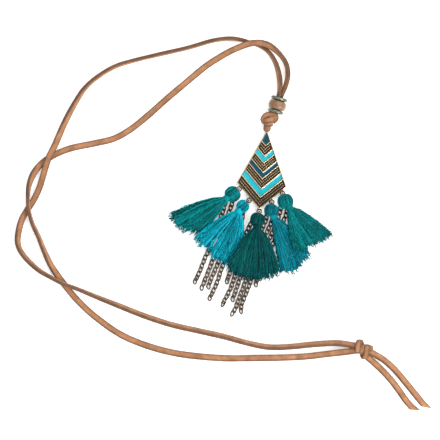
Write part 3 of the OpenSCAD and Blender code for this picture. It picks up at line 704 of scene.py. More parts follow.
def thread_tree():
    """Grows threads round guide strands. span and rise are a strand's half width and half height at a point."""
    tree, given, result = new_grower("Threads", [
        ("Threads", "Int", 12), ("Diameter", "Float", 0.0004), ("Step", "Float", 0.0007), ("Wave", "Float", 0.0),
        ("Ragged", "Float", 0.0), ("Tone", "Float", 1.0), ("Seed", "Int", 0)])
    rough = add_node(tree, "GeometryNodeMeshToCurve", {"Mesh": given["Geometry"]}).outputs[0]
    strands = add_node(
        tree, "GeometryNodeResampleCurve", {"Curve": rough, "Length": given["Step"]}, mode="LENGTH").outputs[0]
    copies = add_node(
        tree, "GeometryNodeDuplicateElements", {"Geometry": strands, "Amount": given["Threads"]},
        domain="SPLINE").outputs[0]
    index = add_node(tree, "GeometryNodeInputIndex").outputs[0]
    lost = calculated(tree, "MULTIPLY", given["Ragged"], drawn(tree, 0.0, 1.0, index, given["Seed"]))
    cut = add_node(
        tree, "GeometryNodeTrimCurve", {"Curve": copies, "End": calculated(tree, "SUBTRACT", 1.0, lost)},
        mode="FACTOR").outputs[0]

    # Each thread's own place in the strand, and the start of its wandering
    thread = add_node(tree, "GeometryNodeCurveOfPoint").outputs[0]
    place_seed, turn_seed, *start_seeds, tint_seed, size_seed = [
        calculated(tree, "ADD", given["Seed"], float(k)) for k in range(1, 8)]
    reach = drawn(tree, *THREAD_PLACE, thread, place_seed)
    turn = drawn(tree, 0.0, math.tau, thread, turn_seed)
    aside = calculated(tree, "MULTIPLY", reach, calculated(tree, "COSINE", turn))
    above = calculated(tree, "MULTIPLY", reach, calculated(tree, "SINE", turn))
    in_strand = vector_calculated(
        tree, "ADD",
        vector_calculated(tree, "SCALE", named(tree, "span", "FLOAT_VECTOR"), scale=aside),
        vector_calculated(tree, "SCALE", named(tree, "rise", "FLOAT_VECTOR"), scale=above))
    start = add_node(tree, "ShaderNodeCombineXYZ", {
        k: drawn(tree, 0.0, WANDER_ROOM, thread, seed) for k, seed in enumerate(start_seeds)}).outputs[0]

    # It wanders more towards its tip
    place = add_node(tree, "GeometryNodeInputPosition").outputs[0]
    at = vector_calculated(tree, "ADD", vector_calculated(tree, "SCALE", place, scale=WANDER_SCALE), start)
    wander = add_node(tree, "ShaderNodeTexNoise", {"Vector": at, "Detail": 1.0}).outputs["Color"]
    flat = vector_calculated(
        tree, "MULTIPLY", vector_calculated(tree, "SUBTRACT", wander, (0.5, 0.5, 0.5)), WANDER_AXES)
    factor = add_node(tree, "GeometryNodeSplineParameter").outputs["Factor"]
    gain = calculated(tree, "MULTIPLY", calculated(tree, "MULTIPLY", given["Wave"], WANDER_GAIN), factor)
    offset = vector_calculated(tree, "ADD", in_strand, vector_calculated(tree, "SCALE", flat, scale=gain))
    placed = add_node(tree, "GeometryNodeSetPosition", {"Geometry": cut, "Offset": offset}).outputs[0]

    tint = calculated(tree, "MULTIPLY", given["Tone"], drawn(tree, *THREAD_TINT, thread, tint_seed))
    carried = tagged(tree, tagged(tree, placed, "tint", tint), "tip", factor)
    radius = calculated(
        tree, "MULTIPLY", calculated(tree, "MULTIPLY", given["Diameter"], 0.5),
        drawn(tree, *THREAD_SIZE, thread, size_seed))
    skin = add_node(tree, "GeometryNodeCurveToMesh", {
        "Curve": carried, "Profile Curve": circle(tree, 3, 1.0), "Scale": radius, "Fill Caps": True}).outputs[0]
    finish_tree(tree, skin, given["Material"], result[0])
    return tree


def finish_tree(tree, geometry, material, result):
    """Ends a geometry tree with real, smooth geometry in its material."""
    real = add_node(tree, "GeometryNodeRealizeInstances", {"Geometry": geometry}).outputs[0]
    soft = add_node(tree, "GeometryNodeSetShadeSmooth", {"Geometry": real}).outputs[0]
    painted = add_node(tree, "GeometryNodeSetMaterial", {"Geometry": soft, "Material": material}).outputs[0]
    tree.links.new(painted, result)


def laid_on(tree, points, forms, form=None):
    """Places forms on points, with their X along the attribute aim and rolled by the attribute roll."""
    facing = add_node(
        tree, "FunctionNodeAxesToRotation",
        {"Primary Axis": named(tree, "aim", "FLOAT_VECTOR"), "Secondary Axis": (0.0, 0.0, 1.0)},
        primary_axis="X", secondary_axis="Z").outputs[0]
    roll = add_node(
        tree, "FunctionNodeAxisAngleToRotation",
        {"Axis": (1.0, 0.0, 0.0), "Angle": named(tree, "roll")}).outputs[0]
    rolled = add_node(
        tree, "FunctionNodeRotateRotation", {"Rotation": facing, "Rotate By": roll},
        rotation_space="LOCAL").outputs[0]
    fill = {"Points": points, "Instance": forms, "Rotation": rolled}
    if form is not None:
        fill.update({"Pick Instance": True, "Instance Index": form})
    return add_node(tree, "GeometryNodeInstanceOnPoints", fill).outputs[0]


def wire_link(tree, half_length, half_width, lift, slant, wire):
    """A link's wire: an oval, slanted in its plane, that leaves the plane twice a turn."""
    factor = add_node(tree, "GeometryNodeSplineParameter").outputs["Factor"]
    turn = calculated(tree, "MULTIPLY", factor, math.tau)
    side = calculated(tree, "MULTIPLY", half_width, calculated(tree, "SINE", turn))
    ahead = calculated(tree, "MULTIPLY", half_length, calculated(tree, "COSINE", turn))
    twice = calculated(tree, "SINE", calculated(tree, "MULTIPLY", turn, 2.0))
    place = add_node(tree, "ShaderNodeCombineXYZ", {
        0: calculated(tree, "ADD", ahead, calculated(tree, "MULTIPLY", side, slant)),
        1: side,
        2: calculated(tree, "MULTIPLY", lift, twice),
    }).outputs[0]
    bent = add_node(
        tree, "GeometryNodeSetPosition", {"Geometry": circle(tree, 26, 1.0), "Position": place}).outputs[0]
    profile = circle(tree, 8, calculated(tree, "MULTIPLY", wire, 0.5))
    return add_node(tree, "GeometryNodeCurveToMesh", {"Curve": bent, "Profile Curve": profile}).outputs[0]


def chain_tree():
    """Links a curb chain: an oval link on each point, or a round one where the attribute form is 0."""
    tree, given, result = new_grower("Curb chain", [
        ("Link length", "Float", 0.0034), ("Link width", "Float", 0.0027), ("Wire", "Float", 0.0005),
        ("Twist", "Float", 0.0003), ("Slant", "Float", 0.4), ("Round diameter", "Float", 0.0029)])

    def half(outer):
        return calculated(tree, "MULTIPLY", calculated(tree, "SUBTRACT", outer, given["Wire"]), 0.5)

    lift = calculated(tree, "MULTIPLY", given["Twist"], -1.0)
    oval = wire_link(
        tree, half(given["Link length"]), half(given["Link width"]), lift, given["Slant"], given["Wire"])
    round_radius = calculated(tree, "MULTIPLY", given["Round diameter"], 0.5)
    ring = wire_link(tree, round_radius, round_radius, 0.0, 0.0, given["Wire"])
    forms = add_node(tree, "GeometryNodeGeometryToInstance")
    # The link that is joined last is the first of the forms
    for link in (oval, ring):
        tree.links.new(link, forms.inputs[0])
    laid = laid_on(tree, given["Geometry"], forms.outputs[0], named(tree, "form", "INT"))
    finish_tree(tree, laid, given["Material"], result[0])
    return tree


def bead_tree():
    """Sets a bead on each point of the rope rows."""
    tree, given, result = new_grower(
        "Rope beads", [("Length", "Float", 0.001), ("Width", "Float", 0.0007), ("Height", "Float", 0.0005)])
    sphere = add_node(
        tree, "GeometryNodeMeshUVSphere", {"Segments": 10, "Rings": 6, "Radius": 0.5}).outputs[0]
    size = add_node(
        tree, "ShaderNodeCombineXYZ", {0: given["Length"], 1: given["Width"], 2: given["Height"]}).outputs[0]
    bead = add_node(tree, "GeometryNodeTransform", {"Geometry": sphere, "Scale": size}).outputs[0]
    finish_tree(tree, laid_on(tree, given["Geometry"], bead), given["Material"], result[0])
    return tree


# Shared effects of the materials


def texture_place(tree):
    """Coordinates of the piece itself."""
    return add_node(tree, "ShaderNodeTexCoord").outputs["Object"]


def noise_field(tree, place, scale, detail):
    """A cloudy field between 0 and 1."""
    return add_node(tree, "ShaderNodeTexNoise", {"Vector": place, "Scale": scale, "Detail": detail}).outputs["Fac"]


def mottle_group():
    """Soft patches and fine grains: a mask of patches, and a height for bump."""
    tree, given, result = new_group(
        "Mottle", "ShaderNodeTree",
        [("Patch scale", "Float", 200), ("Grain scale", "Float", 4000), ("Contrast", "Float", 1)],
        [("Patches", "Float"), ("Grain", "Float")])
    place = texture_place(tree)
    patches = noise_field(tree, place, given["Patch scale"], 4.0)
    spread = calculated(tree, "MULTIPLY", calculated(tree, "SUBTRACT", patches, 0.5), given["Contrast"])
    tree.links.new(calculated(tree, "ADD", spread, 0.5, clamp=True), result[0])
    tree.links.new(noise_field(tree, place, given["Grain scale"], 3.0), result[1])


def rub_group():
    """Antiqued metal: where the dark finish is rubbed off, from how far a place stands out and from wear."""
    tree, given, result = new_group(
        "Rubbed metal", "ShaderNodeTree",
        [("Dark", "Color", (0.05, 0.03, 0.02, 1)), ("Rubbed", "Color", (0.6, 0.45, 0.25, 1)),
         ("Stands out", "Float", 0.5), ("Wear", "Float", 0.5)],
        [("Colour", "Color"), ("Roughness", "Float"), ("Metal", "Float"), ("Height", "Float")])
    patches, grain = shared(tree, "Mottle", patch_scale=900, grain_scale=6000, contrast=2.2)
    worn = calculated(tree, "MULTIPLY", calculated(tree, "SUBTRACT", patches, 0.5), given["Wear"])
    mask = calculated(
        tree, "MULTIPLY", given["Stands out"], calculated(tree, "ADD", 1.0, worn), clamp=True)
    # Rubbed places are smoother and bare metal
    found = [
        blend(tree, mask, given["Dark"], given["Rubbed"]), ranged(tree, mask, 0.58, 0.28),
        ranged(tree, mask, 0.6, 1.0), grain]
    for socket, place in zip(found, result):
        tree.links.new(socket, place)


def new_material(name, **constants):
    """A material with a Principled shader, whose constant values are set on its sockets."""
    material = bpy.data.materials.new(name)
    material.use_nodes = True
    tree = material.node_tree
    shader = tree.nodes["Principled BSDF"]
    for key, value in constants.items():
        shader.inputs[key.replace("_", " ").title().replace("Ior", "IOR")].default_value = value
    return material, tree, shader


def shared(tree, name, **values):
    """The results of a shared effect that is placed in a tree with its own values."""
    fill = {key.replace("_", " ").capitalize(): value for key, value in values.items()}
    return add_node(tree, "ShaderNodeGroup", fill, node_tree=bpy.data.node_groups[name]).outputs


def attribute(tree, name):
    """A number that a piece's points carry."""
    return add_node(tree, "ShaderNodeAttribute", attribute_name=name).outputs["Fac"]


def blend(tree, factor, first, second):
    """A colour between two."""
    return add_node(
        tree, "ShaderNodeMix", {"Factor": factor, 6: first, 7: second}, data_type="RGBA").outputs[2]


def shade(tree, tone, *factors):
    """A colour made darker or lighter by changing factors."""
    for factor in factors:
        tone = vector_calculated(tree, "SCALE", tone, scale=factor)
    return tone


def bumped(tree, shader, height, strength, distance):
    """Feeds a height through a Bump node to the shader's normal."""
    node = add_node(tree, "ShaderNodeBump", {"Height": height, "Strength": strength, "Distance": distance})
    tree.links.new(node.outputs[0], shader.inputs["Normal"])


def rubbed_material(name, dark, rubbed, stands_out, wear):
    """Antiqued metal. stands_out is a number, or the name of an attribute."""
    material, tree, shader = new_material(name, specular_ior_level=0.2)
    out = attribute(tree, stands_out) if isinstance(stands_out, str) else stands_out
    found = shared(tree, "Rubbed metal", dark=dark, rubbed=rubbed, stands_out=out, wear=wear)
    for socket, key in zip(found, ("Base Color", "Roughness", "Metallic")):
        tree.links.new(socket, shader.inputs[key])
    bumped(tree, shader, found["Height"], 0.25, 0.00004)
    return material


def enamel_material(name, tone):
    """Enamel with painted shade along its walls, faintly clouded, and glossiest where it climbs the upper right
    walls.
    """
    material, tree, shader = new_material(
        name, roughness=0.4, specular_ior_level=0.1, coat_roughness=0.04, coat_ior=1.6)
    tree.links.new(ranged(tree, attribute(tree, "polish"), 0.08, 1.0), shader.inputs["Coat Weight"])
    patches, _ = shared(tree, "Mottle", patch_scale=420, grain_scale=2500, contrast=1.6)
    cloud = ranged(tree, patches, 0.78, 1.28)
    # The wall attribute is painted shade that darkens the enamel beside its walls
    wall = ranged(tree, attribute(tree, "wall"), 1.0, 0.7)
    tree.links.new(shade(tree, tone, cloud, wall), shader.inputs["Base Color"])
    return material


def leather_material(name, face, edge):
    """Suede: a soft nap, paler flat faces, darker cut edges that also carry painted shade towards the lace's
    sides, and handled patches.
    """
    material, tree, shader = new_material(
        name, roughness=0.9, specular_ior_level=0.25, sheen_weight=0.08, sheen_roughness=0.5)
    patches, grain = shared(tree, "Mottle", patch_scale=260, grain_scale=3800, contrast=1.8)
    # Darker towards the edges: partly the cut edges' own colour, partly painted shade on the lace's sides
    tone = blend(tree, attribute(tree, "edge"), face, edge)
    handled = calculated(tree, "MULTIPLY", ranged(tree, patches, 0.65, 1.35), ranged(tree, grain, 0.5, 1.5))
    tree.links.new(shade(tree, tone, handled), shader.inputs["Base Color"])
    bumped(tree, shader, grain, 0.7, 0.00012)
    return material


def thread_material(name, tone):
    """Silky thread: each thread carries its own shade, and the cut tips are darker."""
    material, tree, shader = new_material(name, roughness=0.55, specular_ior_level=0.06)
    patches, grain = shared(tree, "Mottle", patch_scale=300, grain_scale=5000, contrast=1.5)
    tip = add_node(
        tree, "ShaderNodeMapRange", {"Value": attribute(tree, "tip"), 1: 0.93, 2: 1.0, 3: 1.0, 4: 0.55}).outputs[0]
    # The tint attribute carries each thread's tone and, on the bodies, painted shade in their grooves
    own = calculated(tree, "MULTIPLY", attribute(tree, "tint"), ranged(tree, patches, 0.75, 1.25))
    tree.links.new(shade(tree, tone, calculated(tree, "MULTIPLY", own, tip)), shader.inputs["Base Color"])
    bumped(tree, shader, grain, 0.3, 0.00005)
    return material


def wood_material(name, tone):
    """Turned wood with grain along the bead's hole."""
    material, tree, shader = new_material(name, roughness=0.4, coat_weight=0.25, coat_roughness=0.2)
    lean = math.radians(bpy.context.scene.necklace_stack.lean)
    along = add_node(tree, "ShaderNodeMapping", {
        "Vector": texture_place(tree), "Rotation": (0.0, 0.0, lean), "Scale": (1.0, 0.12, 1.0)}).outputs[0]
    grain = noise_field(tree, along, 1500.0, 4.0)
    tree.links.new(shade(tree, tone, ranged(tree, grain, -0.2, 2.2)), shader.inputs["Base Color"])
    bumped(tree, shader, grain, 0.4, 0.00008)
    return material


MADE = {}
VERDIGRIS_DARK = (0.02, 0.025, 0.016, 1)


def material_of(name):
    """A finish of the necklace, made when it is first asked for."""
    if not MADE:
        mottle_group()
        rub_group()
    if name not in MADE:
        scene = bpy.context.scene
        plate, enamel, leather = scene.necklace_plate, scene.necklace_enamel, scene.necklace_leather
        threads, chains, stack = scene.necklace_threads, scene.necklace_chains, scene.necklace_stack
        brass = plate.recess[:], plate.raised[:]
        make, *values = {
            "antique_brass": (rubbed_material, *brass, "raised", 0.5),
            "rope_brass": (rubbed_material, *brass, 0.66, 1.0),
            "ring_brass": (rubbed_material, *brass, 0.12, 1.5),
            "dark_bronze": (rubbed_material, chains.dark[:], chains.bronze[:], 0.2, 2.0),
            "verdigris_patina": (rubbed_material, VERDIGRIS_DARK, stack.patina[:], 0.6, 1.8),
            "deep_teal_enamel": (enamel_material, enamel.deep[:3]),
            "turquoise_enamel": (enamel_material, enamel.bright[:3]),
            "leather_lace": (leather_material, leather.face[:], leather.edge[:]),
            "dark_teal_thread": (thread_material, threads.dark[:3]),
            "bright_teal_thread": (thread_material, threads.bright[:3]),
            "pale_wood": (wood_material, stack.wood[:3]),
        }[name]
        MADE[name] = make(name, *values)
    return MADE[name]


# Studio


def make_studio():
    """Pale floor, soft light from overhead and a camera that looks straight down."""
    scene = bpy.context.scene
    studio = scene.necklace_studio
    scene.view_settings.view_transform = "Standard"
    material = new_material(
        "studio_floor", base_color=studio.floor, roughness=0.9, specular_ior_level=0,
        emission_color=studio.floor, emission_strength=FLOOR_GLOW)[0]
    corners = [(x * FLOOR_HALF, y * FLOOR_HALF, 0) for x, y in ((-1, -1), (1, -1), (1, 1), (-1, 1))]
    mesh = bpy.data.meshes.new("studio_floor")
    mesh.from_pydata(corners, [], [(0, 1, 2, 3)])
    mesh.materials.append(material)
    floor = bpy.data.objects.new("studio_floor", mesh)
    scene.collection.objects.link(floor)

    world = bpy.data.worlds.new("studio_dome")
    world.use_nodes = True
    sky = world.node_tree
    direction = add_node(sky, "ShaderNodeTexCoord").outputs["Generated"]
    height = add_node(sky, "ShaderNodeSeparateXYZ", {"Vector": direction}).outputs["Z"]
    rise, full, low, high = DOME_BAND
    parts = [
        add_node(sky, "ShaderNodeMapRange", {"Value": height, **dict(enumerate(limits, 1))}).outputs[0]
        for limits in ((rise, full, studio.dome * low, studio.dome * high), DOME_CAP)]
    background = sky.nodes["Background"]
    sky.links.new(calculated(sky, "MULTIPLY", *parts), background.inputs["Strength"])
    background.inputs["Color"].default_value = (1, 1, 1, 1)
    scene.world = world

    middle = Vector((studio.picture_x, studio.picture_y, 0))
    for name, place, size, watts in SOFTBOXES:
        light = bpy.data.lights.new(name, "AREA")
        light.size = size
        light.energy = watts
        box = bpy.data.objects.new(name, light)
        box.location = place
        box.rotation_euler = (middle - Vector(place)).to_track_quat("-Z", "Y").to_euler()
        scene.collection.objects.link(box)

    lens = bpy.data.cameras.new("camera")
    lens.lens = studio.lens
    lens.sensor_width = 36
    lens.clip_end = 10
    camera = bpy.data.objects.new("camera", lens)
    distance = studio.picture_width / 2 / (lens.sensor_width / 2 / lens.lens)
    camera.location = (studio.picture_x, studio.picture_y, PICTURE_PLANE + distance)
    scene.collection.objects.link(camera)
    scene.camera = camera


# Laces, tails and knots


def lace_section(settings):
    """The lace's section: wide along x and thin along y."""
    return rounded_box(settings.width, settings.thickness, settings.rounding, across=LACE_ACROSS)


def edge_share(section, count):
    """How near each point of a swept lace is to a cut edge, from 0 on the flat faces to 1."""
    x = np.abs(section[:, 0]) / np.abs(section[:, 0]).max()
    return np.tile(np.clip((x - EDGE_FROM) / (EDGE_TO - EDGE_FROM), 0, 1), count)


def lace_route(rows, section):
    """Centres, sides, rises and directions of a lace that lies on its rows, clear of the surface."""
    fine = smooth_run(rows, 12)
    along = lengths(fine[:, :3])
    fine = at_lengths(fine, along, np.linspace(0, along[-1], int(along[-1] / LACE_STEP) + 1))
    roll = np.radians(fine[:, 3:4])
    reach = section[:, 0] * np.sin(roll) + section[:, 1] * np.cos(roll)
    centres = fine[:, :3].copy()
    centres[:, 2] = np.maximum(fine[:, 2], 0) + CLEAR + (1 + LACE_UNEVEN) * reach.max(axis=1)
    tangents = unit(np.gradient(centres, axis=0))
    across = level_sides(tangents, left=False)
    up = np.cross(across, tangents)
    sides = across * np.cos(roll) + up * np.sin(roll)
    rises = up * np.cos(roll) - across * np.sin(roll)
    return centres, sides, rises, tangents


def stack_place(across, along):
    """Where a point of the stack lies, given across its middle line and along it."""
    x, y = turned(across, along, -bpy.context.scene.necklace_stack.lean)
    return STACK_AT[0] + x, STACK_AT[1] + y


def stack_start(side, settings):
    """Rows of a strand where it passes through the bead and its rings, standing on edge."""
    lift = bpy.context.scene.necklace_stack.bead_diameter / 2 - settings.width / 2
    return [(*stack_place(side, along), lift + drop - CLEAR, 90) for along, drop in STACK_STARTS]


def make_lace(name, rows, cut=0):
    """One strand or tail of the lace, and its middle line. cut is the length of a slanting cut at its end."""
    settings = bpy.context.scene.necklace_leather
    section = lace_section(settings)
    centres, sides, rises, tangents = lace_route(rows, section)
    count = len(centres)
    along = lengths(centres)
    uneven = np.array([noise.noise((a * LACE_CHANGES, len(name), 0)) for a in along])
    sections = section[None] * (1 + LACE_UNEVEN * uneven[:, None, None] * np.array(UNEVEN_AXES))
    points, faces = swept(centres, sides, rises, sections)
    if cut:
        pull = np.clip(1 - (along[-1] - along) / (2 * cut), 0, 1) * cut
        share = np.tile(section[:, 0] / (settings.width / 2), count)
        points = points - np.repeat(tangents * pull[:, None], len(section), axis=0) * share[:, None]
    piece = put(
        name, (points, faces), material_of("leather_lace"), [name],
        {"edge": edge_share(section, count)}, sharp=60)
    piece.name = name + "_suede"
    return piece, centres


def wrap(passes, section, height):
    """A lace wound over and under a knot, with a pass over its top for each row."""
    last = len(passes) - 1
    f = np.linspace(-PASS_END, last + PASS_END, 30 * (last + 1))
    x, y, aim, half, lift = (np.interp(f, range(last + 1), column) for column in np.array(passes).T)
    inner = section[:, 1].max()
    turn = np.radians(90 - 360 * f)
    aim = np.radians(aim)
    direction = np.stack([np.cos(aim), np.sin(aim), np.zeros(len(f))], axis=1)
    middle = np.stack([x, y, np.full(len(f), height / 2)], axis=1)
    tall = height / 2 - inner + lift * np.clip(np.sin(turn), 0, 1)
    rise = np.array([0, 0, 1.0])
    centres = middle + direction * ((half - inner) * np.cos(turn))[:, None] + rise * (tall * np.sin(turn))[:, None]
    tangents = unit(np.gradient(centres, axis=0))
    sides = level_sides(direction)
    sides = unit(sides - tangents * (sides * tangents).sum(axis=1)[:, None])
    return swept(centres, sides, np.cross(tangents, sides), section), len(f)


def strip(points, side, section):
    """A lace bent along points. Its width is held near one direction, or lies level if none is given."""
    centres = smooth_run(points, 8)
    tangents = unit(np.gradient(centres, axis=0))
    if side is None:
        sides = level_sides(tangents)
    else:
        sides = unit(np.asarray(side)[None] - tangents * (tangents @ np.asarray(side))[:, None])
    return swept(centres, sides, np.cross(tangents, sides), section), len(centres)


def soft_section(width, thickness, steps=20):
    """The section of a lace pulled tight: bulged on its faces and thin at its edges."""
    t = np.radians(np.arange(steps) * 360 / steps)
    x, y = (np.sign(v) * np.abs(v) ** 0.75 for v in (np.cos(t), np.sin(t)))
    return np.stack([width / 2 * x, thickness / 2 * y], axis=1)


def make_knot(name, passes, cores, extra):
    """A knot of the flat lace: wound passes over rounded masses, with further strips, and painted shade over it,
    deepest on the masses.
    """
    settings = bpy.context.scene.necklace_leather
    section = soft_section(settings.width * PULLED[0], settings.thickness * PULLED[1])
    wound, rings = wrap(passes, section, KNOT_HEIGHT)
    parts, edges = [wound], [edge_share(section, rings)]
    for points, side, own in extra:
        bent, rings = strip(points, side, own)
        parts.append(bent)
        edges.append(edge_share(own, rings))
    for x, y, aim, half, wide, lower in cores:
        mass = ball((x, y, KNOT_HEIGHT / 2), (half, wide, KNOT_HEIGHT / 2 - lower), aim)
        parts.append(mass)
        # The masses lie under the passes: painted shade, carried by the edge attribute
        edges.append(np.full(len(mass[0]), CORE_SHADE))
    # Cut edges darken more, and painted shade lies over the whole knot
    gain, start, limit = KNOT_EDGE_AND_SHADE
    return put(
        name + "_suede", joined(parts), material_of("leather_lace"), [name],
        {"edge": np.minimum(np.concatenate(edges) * gain + start, limit)}, sharp=60)


def plate_point(x, y, z=0.0):
    """A point of the plate's own drawing where it lies."""
    px, py = turned(x, y, -bpy.context.scene.necklace_plate.lean)
    return np.array([px, py, z])


def make_laces():
    """Both strands, both tails and both knots."""
    settings = bpy.context.scene.necklace_leather
    plate = bpy.context.scene.necklace_plate
    eye_y = plate.top + TOP_LIFT
    loop = [plate_point(0, eye_y + along, z) for along, z in EYE_LOOP]
    tongue = rounded_box(*TONGUE, 4, LACE_ACROSS)
    wide, thick, rounded = FOLD
    fold = rounded_box(
        settings.width * wide, settings.thickness * thick, settings.rounding * rounded, across=LACE_ACROSS)
    make_knot("pendant_knot", PENDANT_PASSES, PENDANT_CORES, [
        (loop, plate_point(1, 0), tongue), (PENDANT_FOLD, None, fold)])
    end_knot = make_knot("end_knot", END_PASSES, END_CORES, [(END_FOLD, (0, 1, 0), fold)])
    side = settings.thickness / 2 + STRAND_GAP
    for name, way, rows in (("lace_left", -side, LACE_LEFT), ("lace_right", side, LACE_RIGHT)):
        piece, centres = make_lace(name, stack_start(way, settings) + rows)
    for name, rows in (("tail_upper", TAIL_UPPER), ("tail_lower", TAIL_LOWER)):
        piece, centres = make_lace(name, rows, TAIL_CUT)


# Bead and rings


def on_stack(shape, along):
    """A turned shape with its axis laid along the stack."""
    stack = bpy.context.scene.necklace_stack
    lay = Euler((math.radians(-90), 0, math.radians(-stack.lean)), "XYZ").to_matrix().to_4x4()
    place = Matrix.Translation((*stack_place(0, along), stack.bead_diameter / 2)) @ lay
    return np.array([place @ Vector(p) for p in shape[0]]), shape[1]


def make_stack():
    """The wooden bead between its two patinated rings."""
    stack = bpy.context.scene.necklace_stack
    tube = stack.ring_thickness / 2
    offset = stack.bead_length / 2 + stack.gap + tube
    mean, swell = RING_SWELL
    for name, outer, along, seed in (
        ("lower_ring", stack.lower_diameter, -offset, 1), ("upper_ring", stack.upper_diameter, offset, 5)
    ):
        radius = outer / 2 - tube
        points, faces = lathe(circle_profile(radius, tube, 20), 96)
        middle = unit(points * (1, 1, 0)) * radius
        dent = np.array([noise.noise(Vector(p) * RING_DENTS + Vector((seed, 0, 0))) for p in points])
        points = middle + (points - middle) * (mean + swell * dent[:, None])
        put(name + "_patinated", on_stack((points, faces), along), material_of("verdigris_patina"),
            [name], sharp=80)
    half, bore, outer, soft = stack.bead_length / 2, stack.bead_bore / 2, stack.bead_diameter / 2, BEAD_SOFT
    crown = stack.bead_length * BEAD_CROWN[0]
    turn = np.arcsin(half * BEAD_CROWN[1] / crown)
    curve = [(outer - crown + crown * math.cos(a), crown * math.sin(a)) for a in np.linspace(-turn, turn, 15)]
    profile = [(bore, -half + soft), (bore + soft, -half), (curve[0][0] - soft, -half), *curve,
               (curve[-1][0] - soft, half), (bore + soft, half), (bore, half - soft)]
    put("bead_turned", on_stack(lathe(profile, 96), 0), material_of("pale_wood"), ["bead"])


# Plate and enamel


def plate_shape():
    """The plate, its half width, the fall of its lower edges and how much longer they are than level ones."""
    plate = bpy.context.scene.necklace_plate
    half = plate.width / 2
    slope = plate.foot / half
    return plate, half, slope, 1 / math.cos(math.atan(slope))


def kite(inset):
    """Corners of the kite, moved in from its outline: top, right, foot, left."""
    plate, half, *_ = plate_shape()
    upper = 1 - inset * math.hypot(1 / half, 1 / plate.top)
    lower = 1 - inset * math.hypot(1 / half, 1 / plate.foot)
    y = (upper - lower) / (1 / plate.top + 1 / plate.foot)
    x = half * (upper - y / plate.top)
    return [(0, plate.top * upper), (x, y), (0, -plate.foot * lower), (-x, y)]


def rounded_kite(inset, radius, z, steps=5):
    """The kite's outline with soft corners, where it lies."""
    corners = [np.array(c) for c in kite(inset)]
    loop = []
    for k, corner in enumerate(corners):
        before = unit(corners[k - 1] - corner) * radius
        after = unit(corners[(k + 1) % 4] - corner) * radius
        for t in np.linspace(0, 1, steps):
            p = corner + before * (1 - t) ** 2 + after * t**2
            loop.append(plate_point(*p, z))
    return loop


def row_y(share):
    """Height of a row on the plate's middle line."""
    plate = bpy.context.scene.necklace_plate
    return share * (plate.top + plate.foot) - plate.foot


def arm_end(y, inset):
    """Right end of the row that crosses the middle line at y."""
    plate, half, slope, _ = plate_shape()
    upper = 1 - inset * math.hypot(1 / half, 1 / plate.top)
    x = (upper - y / plate.top) / (1 / half + slope / plate.top)
    return np.array([x, y + slope * x])


def ridge(y, width, low, high, inset):
    """A round-topped ridge that follows a row."""
    slant = plate_shape()[3]
    middle, shoulder = (low + high) / 2, high - width * 0.12
    profile = [(-0.5, low), (-0.5, middle), (-0.36, shoulder), (-0.12, high),
               (0.12, high), (0.36, shoulder), (0.5, middle), (0.5, low)]
    lines = []
    for share, z in profile:
        at = y + share * width * slant
        x, end_y = arm_end(at, inset)
        lines.append([plate_point(-x, end_y, z), plate_point(0, at, z), plate_point(x, end_y, z)])
    return loft(np.array(lines).transpose(1, 0, 2))


def eye_local(i):
    """Middle of a lower eye in the plate's own drawing, and its direction from the edge."""
    plate, half, *_ = plate_shape()
    side, share = EYES[i]
    edge = np.array([side * half * (1 - share), -plate.foot * share])
    out = np.array([0.0, -1.0]) if side == 0 else unit(np.array([side * plate.foot, -half]))
    return edge + out * (EYE_BORE / 2 + EYE_GAP), out


def eye_ring(at, bore, wall, low, high):
    """A cast eye: a flat ring with soft edges."""
    soft = (high - low) * 0.3
    inner, outer = bore / 2, bore / 2 + wall
    profile = [(inner, low + soft), (inner + soft * 0.5, low), (outer - soft, low), (outer, low + soft),
               (outer, high - soft), (outer - soft * 0.4, high - soft * 0.25), (outer - soft, high),
               (inner + soft * 0.5, high), (inner, high - soft)]
    points, faces = lathe(profile, 40)
    return points + plate_point(*at), faces


def plate_parts():
    """Closed shapes of the casting, the body with its rim and the walls beside the enamel before the eyes,
    how many come before the eyes, and the heights of the field and the rim."""
    plate, *_, slant = plate_shape()
    top, rim = plate.thickness, plate.rim
    field = top - plate.field_depth
    profile = [(0.0002, 0), (0, 0.0002), (0, top - 0.0003), (rim * 0.2, top - 0.00008), (rim * 0.5, top),
               (rim * 0.8, top - 0.0001), (rim, top - 0.0003), (rim * 1.05, field)]
    parts = [loft([rounded_kite(inset, CORNER, z) for inset, z in profile])]
    beside = plate.wall * slant / 2
    walls = [y for low, high in CHEVRONS for y in (row_y(low) - beside, row_y(high) + beside)]
    for y in (*walls, row_y(DROP) - beside):
        parts.append(ridge(y, plate.wall, field - WALL_SINK, top - WALL_SINK, rim / 2))
    before = len(parts)
    eye_low = top - EYE_T
    neck = rounded_box((EYE_BORE / 2 + EYE_WALL) * 1.7, EYE_T * 0.9, EYE_T * 0.2)
    for i in range(len(EYES)):
        at, out = eye_local(i)
        parts.append(eye_ring(at, EYE_BORE, EYE_WALL, eye_low, top))
        ends = [at - out * (EYE_BORE / 2 + EYE_GAP + rim * 0.3), at - out * (EYE_BORE / 2 + EYE_WALL * 0.35)]
        line = np.array([plate_point(*p, eye_low + EYE_T / 2) for p in ends])
        across = level_sides(unit(line[1:] - line[:1]), left=False)
        parts.append(swept(line, np.repeat(across, 2, axis=0), np.array([[0, 0, 1.0]] * 2), neck))
    parts.append(eye_ring((0, plate.top + TOP_LIFT), TOP_BORE, TOP_WALL, eye_low, top))
    return parts, before, field, top


def rope_points():
    """Places and directions of the beads of every rope row, from the middle of each arm outwards."""
    plate, _, slope, slant = plate_shape()
    step = plate.bead_pitch / slant
    spots, aims = [], []
    for share in ROPES:
        y = row_y(share)
        reach = arm_end(y, plate.rim)[0] - plate.bead_pitch * 0.4
        for k in range(int(reach / step) + 1):
            for way in (1, -1) if k else (1,):
                x = way * k * step
                spots.append(plate_point(x, y + slope * abs(x)))
                aims.append(plate_point(1, slope * way if k else 0))
    return np.array(spots), np.array(aims)


